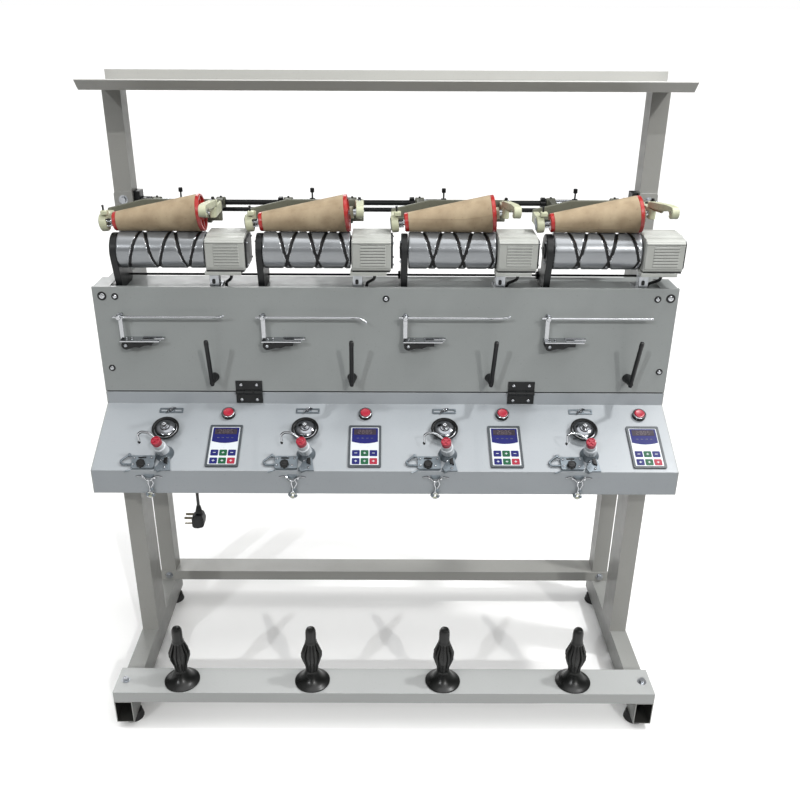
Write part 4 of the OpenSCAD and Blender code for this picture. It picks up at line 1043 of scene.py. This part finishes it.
def draw_discs(bm, at):
    """Tension discs with their post, spring and nut."""
    lathe(bm, [(0, 0.1), (13, 0.1), (13, 5), (12, 6.4), (0, 6.4)], 1, at, 36)
    lathe(bm, [(4.1, 7), (16, 7), (20, 8), (27.2, 12), (29, 12.4), (29.2, 13.6), (27, 13.4),
               (19, 9.6), (15, 8.6), (4.1, 8.6)], 1, at, 56)
    lathe(bm, [(4.1, 17.4), (13, 17.4), (17, 16.4), (20, 14.4), (20.8, 13.8), (21.4, 14.6),
               (19, 16.4), (15, 18.4), (4.1, 18.8)], 5, at, 56)
    lathe(bm, [(26, 12.8), (28.6, 13.2), (29.4, 14.4), (28.8, 15.6), (27.2, 15.8),
               (25.6, 14.4)], 1, at, 56)
    lathe(bm, [(23.0, 11.2), (24.2, 11.4), (24.4, 12.2), (23.6, 12.4)], 0, at, 56)
    solid(bm, [(10, 12), (10.5, 19), (9, 20.6), (5, 21.2)], 5, at, 36)
    spring = [(5.2 * math.cos(k * 0.7), 5.2 * math.sin(k * 0.7), 20.6 + k * 0.125)
              for k in range(44)]
    tube(bm, spring, 0.7, 0, at, 6)
    lathe(bm, [(0, 19), (3.6, 19), (3.6, 25.6), (5.2, 26.2), (5.2, 29), (4, 30.4), (2.4, 30.6),
               (2, 33), (0, 33.2)], 0, at, 18)


def draw_clearer(bm, at):
    """Conical base, the leaning body of the yarn clearer with its red cap, and its hook."""
    solid(bm, [(20, 0.2), (20, 2.2), (17.6, 4.6), (15, 11), (14, 15)], 3, at, 44)
    post = at @ move(0, 0, 8) @ turn("Y", -8) @ turn("X", 6.5)
    solid(bm, [(13.4, 0), (13.8, 6), (13, 8), (13, 25), (12.2, 26), (11.2, 26.6), (11, 38)], 6,
          post, 40)
    lathe(bm, [(0, 38), (9.8, 38), (10.6, 39), (10.6, 49), (9.6, 50.6), (8.2, 51), (7.4, 49.4),
               (0, 49.2)], 4, post, 36)
    for spin in (35, -55):
        block(bm, (-1.5, -7.8, 48), (1.5, 7.8, 51.4), 4, post @ turn("Z", spin))
    for z in (12, 16, 20):
        block(bm, (-4.5, -13.6, z), (4.5, -12.6, z + 1.6), 3, post, bevel=0.2)
    # pigtail guide, a flat hook with a black tip
    hook = bent([(-4, 10, 40), (-20, 24, 46), (-38, 28, 44), (-46, 24, 40), (-46, 16, 26)], 9)
    tube(bm, hook, [2.4] * (len(hook) - 4) + [1.9] * 4, 0, post, 12)
    tube(bm, [p + Vector((0, -0.8, -1.4)) for p in hook[2:-4]], 2.0, 1, post, 10)
    lathe(bm, [(0, 0), (2.8, 0.6), (2.8, 4.6), (0, 6)], 1, post @ move(-47.5, 15, 20.5), 14)


def draw_sensor(bm, at):
    """Bent bracket with its slot, black block and yarn loops."""
    slot = round_rect(17, 4.4, 1.6, 4, -3, 10)
    prism(bm, round_rect(48, 31, 3, 4), 0.2, 7.5, 3, at, bevel=1.2, holes=[slot])
    prism(bm, round_rect(18, 5.4, 1.6, 4, -3, 10), 0.3, 5.6, 1, at, bevel=0.3)
    solid(bm, [(9.4, 6), (9.4, 14.6), (8, 16)], 1, at @ move(-3, -7, 0), 8)
    block(bm, (-8.4, -11, 7), (2.4, -2.6, 17), 1, at, bevel=1.4)
    for u, v in ((-19, -8), (-19, 8), (13, -9), (17, 9)):
        dome_screw(bm, at @ move(u, v, 7.5), 2.3, 0)
    loop = bent([(-24, 14, 6), (-34, 15, 7), (-49, 2, 5), (-44, -5, 4), (-24, -5, 4)], 8)
    tube(bm, loop, 2.2, 3, at, 12)
    lathe(bm, [(0, -3), (3.2, -2.6), (4, 0), (3.2, 2.6), (0, 3)], 3, at @ move(-31, 16, 7.4), 18)
    tube(bm, bent([(-22, -15, 1), (-30, -19, 1.4), (-38, -22, 1.2)], 3), 1.5, 3, at, 10)


def draw_slanted_plate(bm, at):
    """Dark plate beside the sensor, with the channel at the front edge."""
    prism(bm, [(-14, -15), (20, -15), (14, 18), (2, 21), (-6, 4)], 0.2, 5.2, 3, at, bevel=0.8)
    prism(bm, [(4, 2), (13, -2), (11, 15), (4, 17)], 5.0, 9.4, 1, at, bevel=0.8)
    for x, low, high in ((-1, 0.2, 6.4), (-13, 6.2, 10)):
        block(bm, (-16, -14, low), (x, -3, high), 3, at @ turn("Z", 28))
    dome_screw(bm, at @ move(8, -9, 5.2), 2.6, 0)
    dome_screw(bm, at @ move(-2, 8, 5.2), 2.2, 0)


def draw_wire_guide(bm, at):
    """Wire guide on the front face, with the eye that hangs below the edge."""
    block(bm, (-11, -2.0, 37), (11, 0, 46), 3, at)
    for u, top in ((-12, 41), (12, 39)):
        lathe(bm, [(0, -2.4), (2.4, -2), (3.2, 0), (2.4, 2), (0, 2.4)], 0,
              at @ move(u, -3.4, top) @ TO_FRONT, 18)
    for r, seg, wire in (
            (1.5, 8, [(-27, -1.6, 41), (-16, -4, 45), (-9, -6, 40), (-3, -6.5, 33),
                      (3, -6.5, 33), (8, -6, 40), (16, -4, 44), (28, -1.6, 40)]),
            (1.5, 10, [(0, -6, 36), (-2.6, -6.5, 27), (1.4, -6.5, 18), (0, -6.5, 9)]),
            (1.3, 8, [(6, -6.5, 36), (10, -6.8, 28), (5, -6.8, 20), (2, -6.8, 12)])):
        tube(bm, bent(wire, 4), r, 0, at, seg)
    for u, top, r in ((4.6, 13, 4.0), (-5.6, 1.5, 4.4), (6.0, -1.0, 4.0)):
        lathe(bm, [(0, -r), (r * 0.8, -r * 0.6), (r, 0), (r * 0.8, r * 0.6), (0, r)], 3,
              at @ move(u, -7, top) @ TO_FRONT, 16)
    eye = at @ move(0, -7, 0.5) @ TO_FRONT
    lathe(bm, [polar(1.9, a, 6.8) for a in range(0, 360, 30)], 0, eye, 36)
    lathe(bm, [(4.0, -1.8), (5.4, -2.2), (5.8, 0), (5.4, 2.2), (4.0, 1.8)], 2, eye, 30)


def draw_tensioner(bm, head_x):
    """All that one head's yarn runs through on the slope, from the back to the front edge."""
    x = head_x - 20
    draw_guide_plate(bm, on_slope(x, 158))
    draw_discs(bm, on_slope(head_x - 22, 101))
    draw_clearer(bm, on_slope(x + 3, 42))
    draw_sensor(bm, on_slope(x - 37, 18))
    draw_slanted_plate(bm, on_slope(x + 2, 14))
    draw_wire_guide(bm, move(x - 24, SLOPE_Y, 584))


def make_holders():
    """Ribbed plastic posts that the yarn packages stand on."""
    bm = bmesh.new()
    base = [(40, 0.8), (40, 3.4), (38.6, 4.4), (34, 6.4), (28, 10.5), (22.4, 17), (18.6, 24),
            (16, 29), (14.4, 32), (13.6, 35)]
    lathe(bm, [(0, 0), (39, 0), *base, (0, 35)], 0, None, 56)
    solid(bm, [(12.6, 30), (13, 45), (16, 60), (18.5, 74), (18.5, 84), (14, 100), (11, 113),
               (10.6, 118)], 0, None, 40)
    fin = [(8, 34), (14.4, 36), (15, 46), (19.4, 58), (24, 73), (24, 84), (18.5, 99), (13, 114),
           (8, 115)]
    for k in range(10):
        prism(bm, fin, -2.0, 2.0, 0, turn("Z", 36 * k + 9) @ TO_FRONT, bevel=1.1)
    solid(bm, [(12.6, 110), (13.4, 112), (13.4, 116), (12.2, 118), (12, 121), (12, 140),
               (11.2, 146), (9, 150.4), (5, 152)], 0, None, 40)
    solid(bm, [(3.6, -12), (4, -11), (4, 1)], 0, None, 20)
    for i in HEADS:
        name, at = f"package_post_{i}", (HEAD_X[i] + POST_X, POST_Y, POST_Z)
        if i == HEADS[0]:
            first = piece(name, bm, ["gloss"], "stand", "black_plastic", "cone_holders", at=at)
        else:
            ride(link_object(name, first.data, [c * MM for c in at]), "stand", "black_plastic",
                 "cone_holders")


# ---------- controls ----------

SEGMENTS = {"2": "abged", "5": "afgcd", "8": "abcdefg"}  # of the figures that show


def digit(bm, text, at, mat, w=4.6, h=8.6, t=0.9):
    """Seven-segment figures, centred on at."""
    spots = {"a": (0, h / 2, 1), "g": (0, 0, 1), "d": (0, -h / 2, 1), "f": (-w / 2, h / 4, 0),
             "b": (w / 2, h / 4, 0), "e": (-w / 2, -h / 4, 0), "c": (w / 2, -h / 4, 0)}
    for n, ch in enumerate(text):
        off = (n - (len(text) - 1) / 2) * (w * 1.75)
        for s in SEGMENTS[ch]:
            u, v, flat = spots[s]
            du, dv = (w * 0.4, t / 2) if flat else (t / 2, h * 0.2)
            block(bm, (off + u - du, v - dv, 0), (off + u + du, v + dv, 0.3), mat, at, 0.12, 1)


def draw_keypad(bm, head_x):
    at = on_slope(head_x + KEYS_X, KEYPAD_UP)
    prism(bm, round_rect(70, 108, 3, 5), 0.1, 4.0, 0, at, 1.0, 3, [round_rect(60.5, 98.5, 2, 4)])
    prism(bm, round_rect(61.5, 99.5, 2, 4), -14, 2.4, 1, at, 0.3)
    # blue field with its curved lower edge, round the display
    top = [p for p in round_rect(56, 40, 1.5, 3) if p[1] > -16.0]
    low = [(x, -16.0 - 5.0 * (1 - (x / 28.0) ** 2)) for x in (-28, -20, -10, 0, 10, 20, 28)]
    shape = sorted([p for p in top if p[0] > 0], key=lambda p: p[1])
    shape += sorted([p for p in top if p[0] <= 0], key=lambda p: -p[1])
    prism(bm, shape + low, 2.3, 2.75, 2, at @ move(0, 27.5), 0.15, 1)
    prism(bm, round_rect(48, 15, 1, 3), 2.6, 3.0, 5, at @ move(0, 37), 0.15, 1)
    digit(bm, "2885", at @ move(0, 37, 2.9), 6)
    for u in (-15, -5, 5, 15):
        prism(bm, round_rect(5, 1.4, 0.6, 3, u, 20.5), 2.6, 2.9, 0, at, 0.1, 1)
    # six keys, with a bar or a cross on each
    for u, v, mat in ((-1, 1, 2), (0, 1, 3), (1, 1, 2), (-1, 0, 2), (0, 0, 3), (1, 0, 4)):
        key = at @ move(u * 18.6, -39 + v * 20.5)
        prism(bm, round_rect(16.4, 15.4, 2, 4), 2.2, 3.1, mat, key, 0.35)
        prism(bm, round_rect(6.0, 1.3, 0.5, 3), 3.0, 3.3, 1, key, 0.1, 1)
        if v == 0 or u == 0:
            prism(bm, round_rect(1.3, 5.4, 0.5, 3), 3.0, 3.3, 1, key, 0.1, 1)


def draw_button_rim(bm, head_x):
    lathe(bm, [(11.5, 6.2), (14.0, 6.2), (14.0, 7.6), (13.2, 8.6), (12.0, 9.0), (11.5, 8.4)], 0,
          on_slope(head_x + KEYS_X, BUTTON_UP), 44)


def make_buttons():
    for i in HEADS:
        bm = bmesh.new()
        at = on_slope(HEAD_X[i] + KEYS_X, BUTTON_UP)
        lathe(bm, [(0, 1.5), (11, 1.5), (11, 9.6), (10.2, 10.7), (8.6, 11), (7.8, 10.5),
                   (0, 10.2)], 0, at, 40)
        solid(bm, [(4, -16), (4, 2)], 1, at, 20)
        piece(f"start_button_{i}", bm, ["cap", "black"], f"button_{i}", "red_plastic",
              f"button_cap_{i}")


set_camera()
set_world()
set_lights()
set_floor()
cord, cord_length = make_cord()
make_ties()
plug = make_plug()
make_strain_relief()
paint_nodes()
make_drums()
shared_piece("drum_end_brackets", ["black_steel", "zinc"], "stand", "black_steel", draw_bracket,
             "drum_brackets")
shared_piece("drum_motors", ["motor", "black", "zinc"], "stand", "cream_casting", draw_motor,
             "motor_housings")
head_pieces(("yarn_cone", ["paper"], "cone", "brown_paper", "paper_cone", draw_cone),
            ("cone_chucks", ["red", "chrome"], "cone", "red_plastic", "chucks", draw_chucks))
head_pieces(("cone_cradle", ["cream", "black", "chrome", "shaded_cream", "zinc", "gunmetal"], "cradle",
             "cream_casting", "cradle", draw_cradle))
head_pieces(("release_handle", ["cream", "zinc", "black"], "handle", "cream_casting", "handle",
             draw_handle))
head_pieces(("yarn_feeler", ["chrome", "zinc"], "feeler", "bright_steel", "feeler", draw_feeler))
shared_piece("feeler_bracket_set", ["chrome", "zinc", "black"], "panel", "bright_steel",
             draw_feeler_bracket, "feeler_brackets")
head_pieces(("start_lever", ["black", "black_steel"], "lever", "black_steel", "lever",
             draw_lever))
make_panel_hardware()
shared_piece("yarn_tension_units",
             ["chrome", "black", "cream", "gunmetal", "cap", "disc", "white"], "stand",
             "bright_steel", draw_tensioner, "yarn_tensioners")
make_holders()
shared_piece("key_panels", ["bezel", "white", "blue", "green", "key_red", "window", "digit"],
             "stand", "black_plastic", draw_keypad, "keypads")
make_buttons()
shared_piece("button_rims", ["zinc"], "stand", "bright_steel", draw_button_rim)
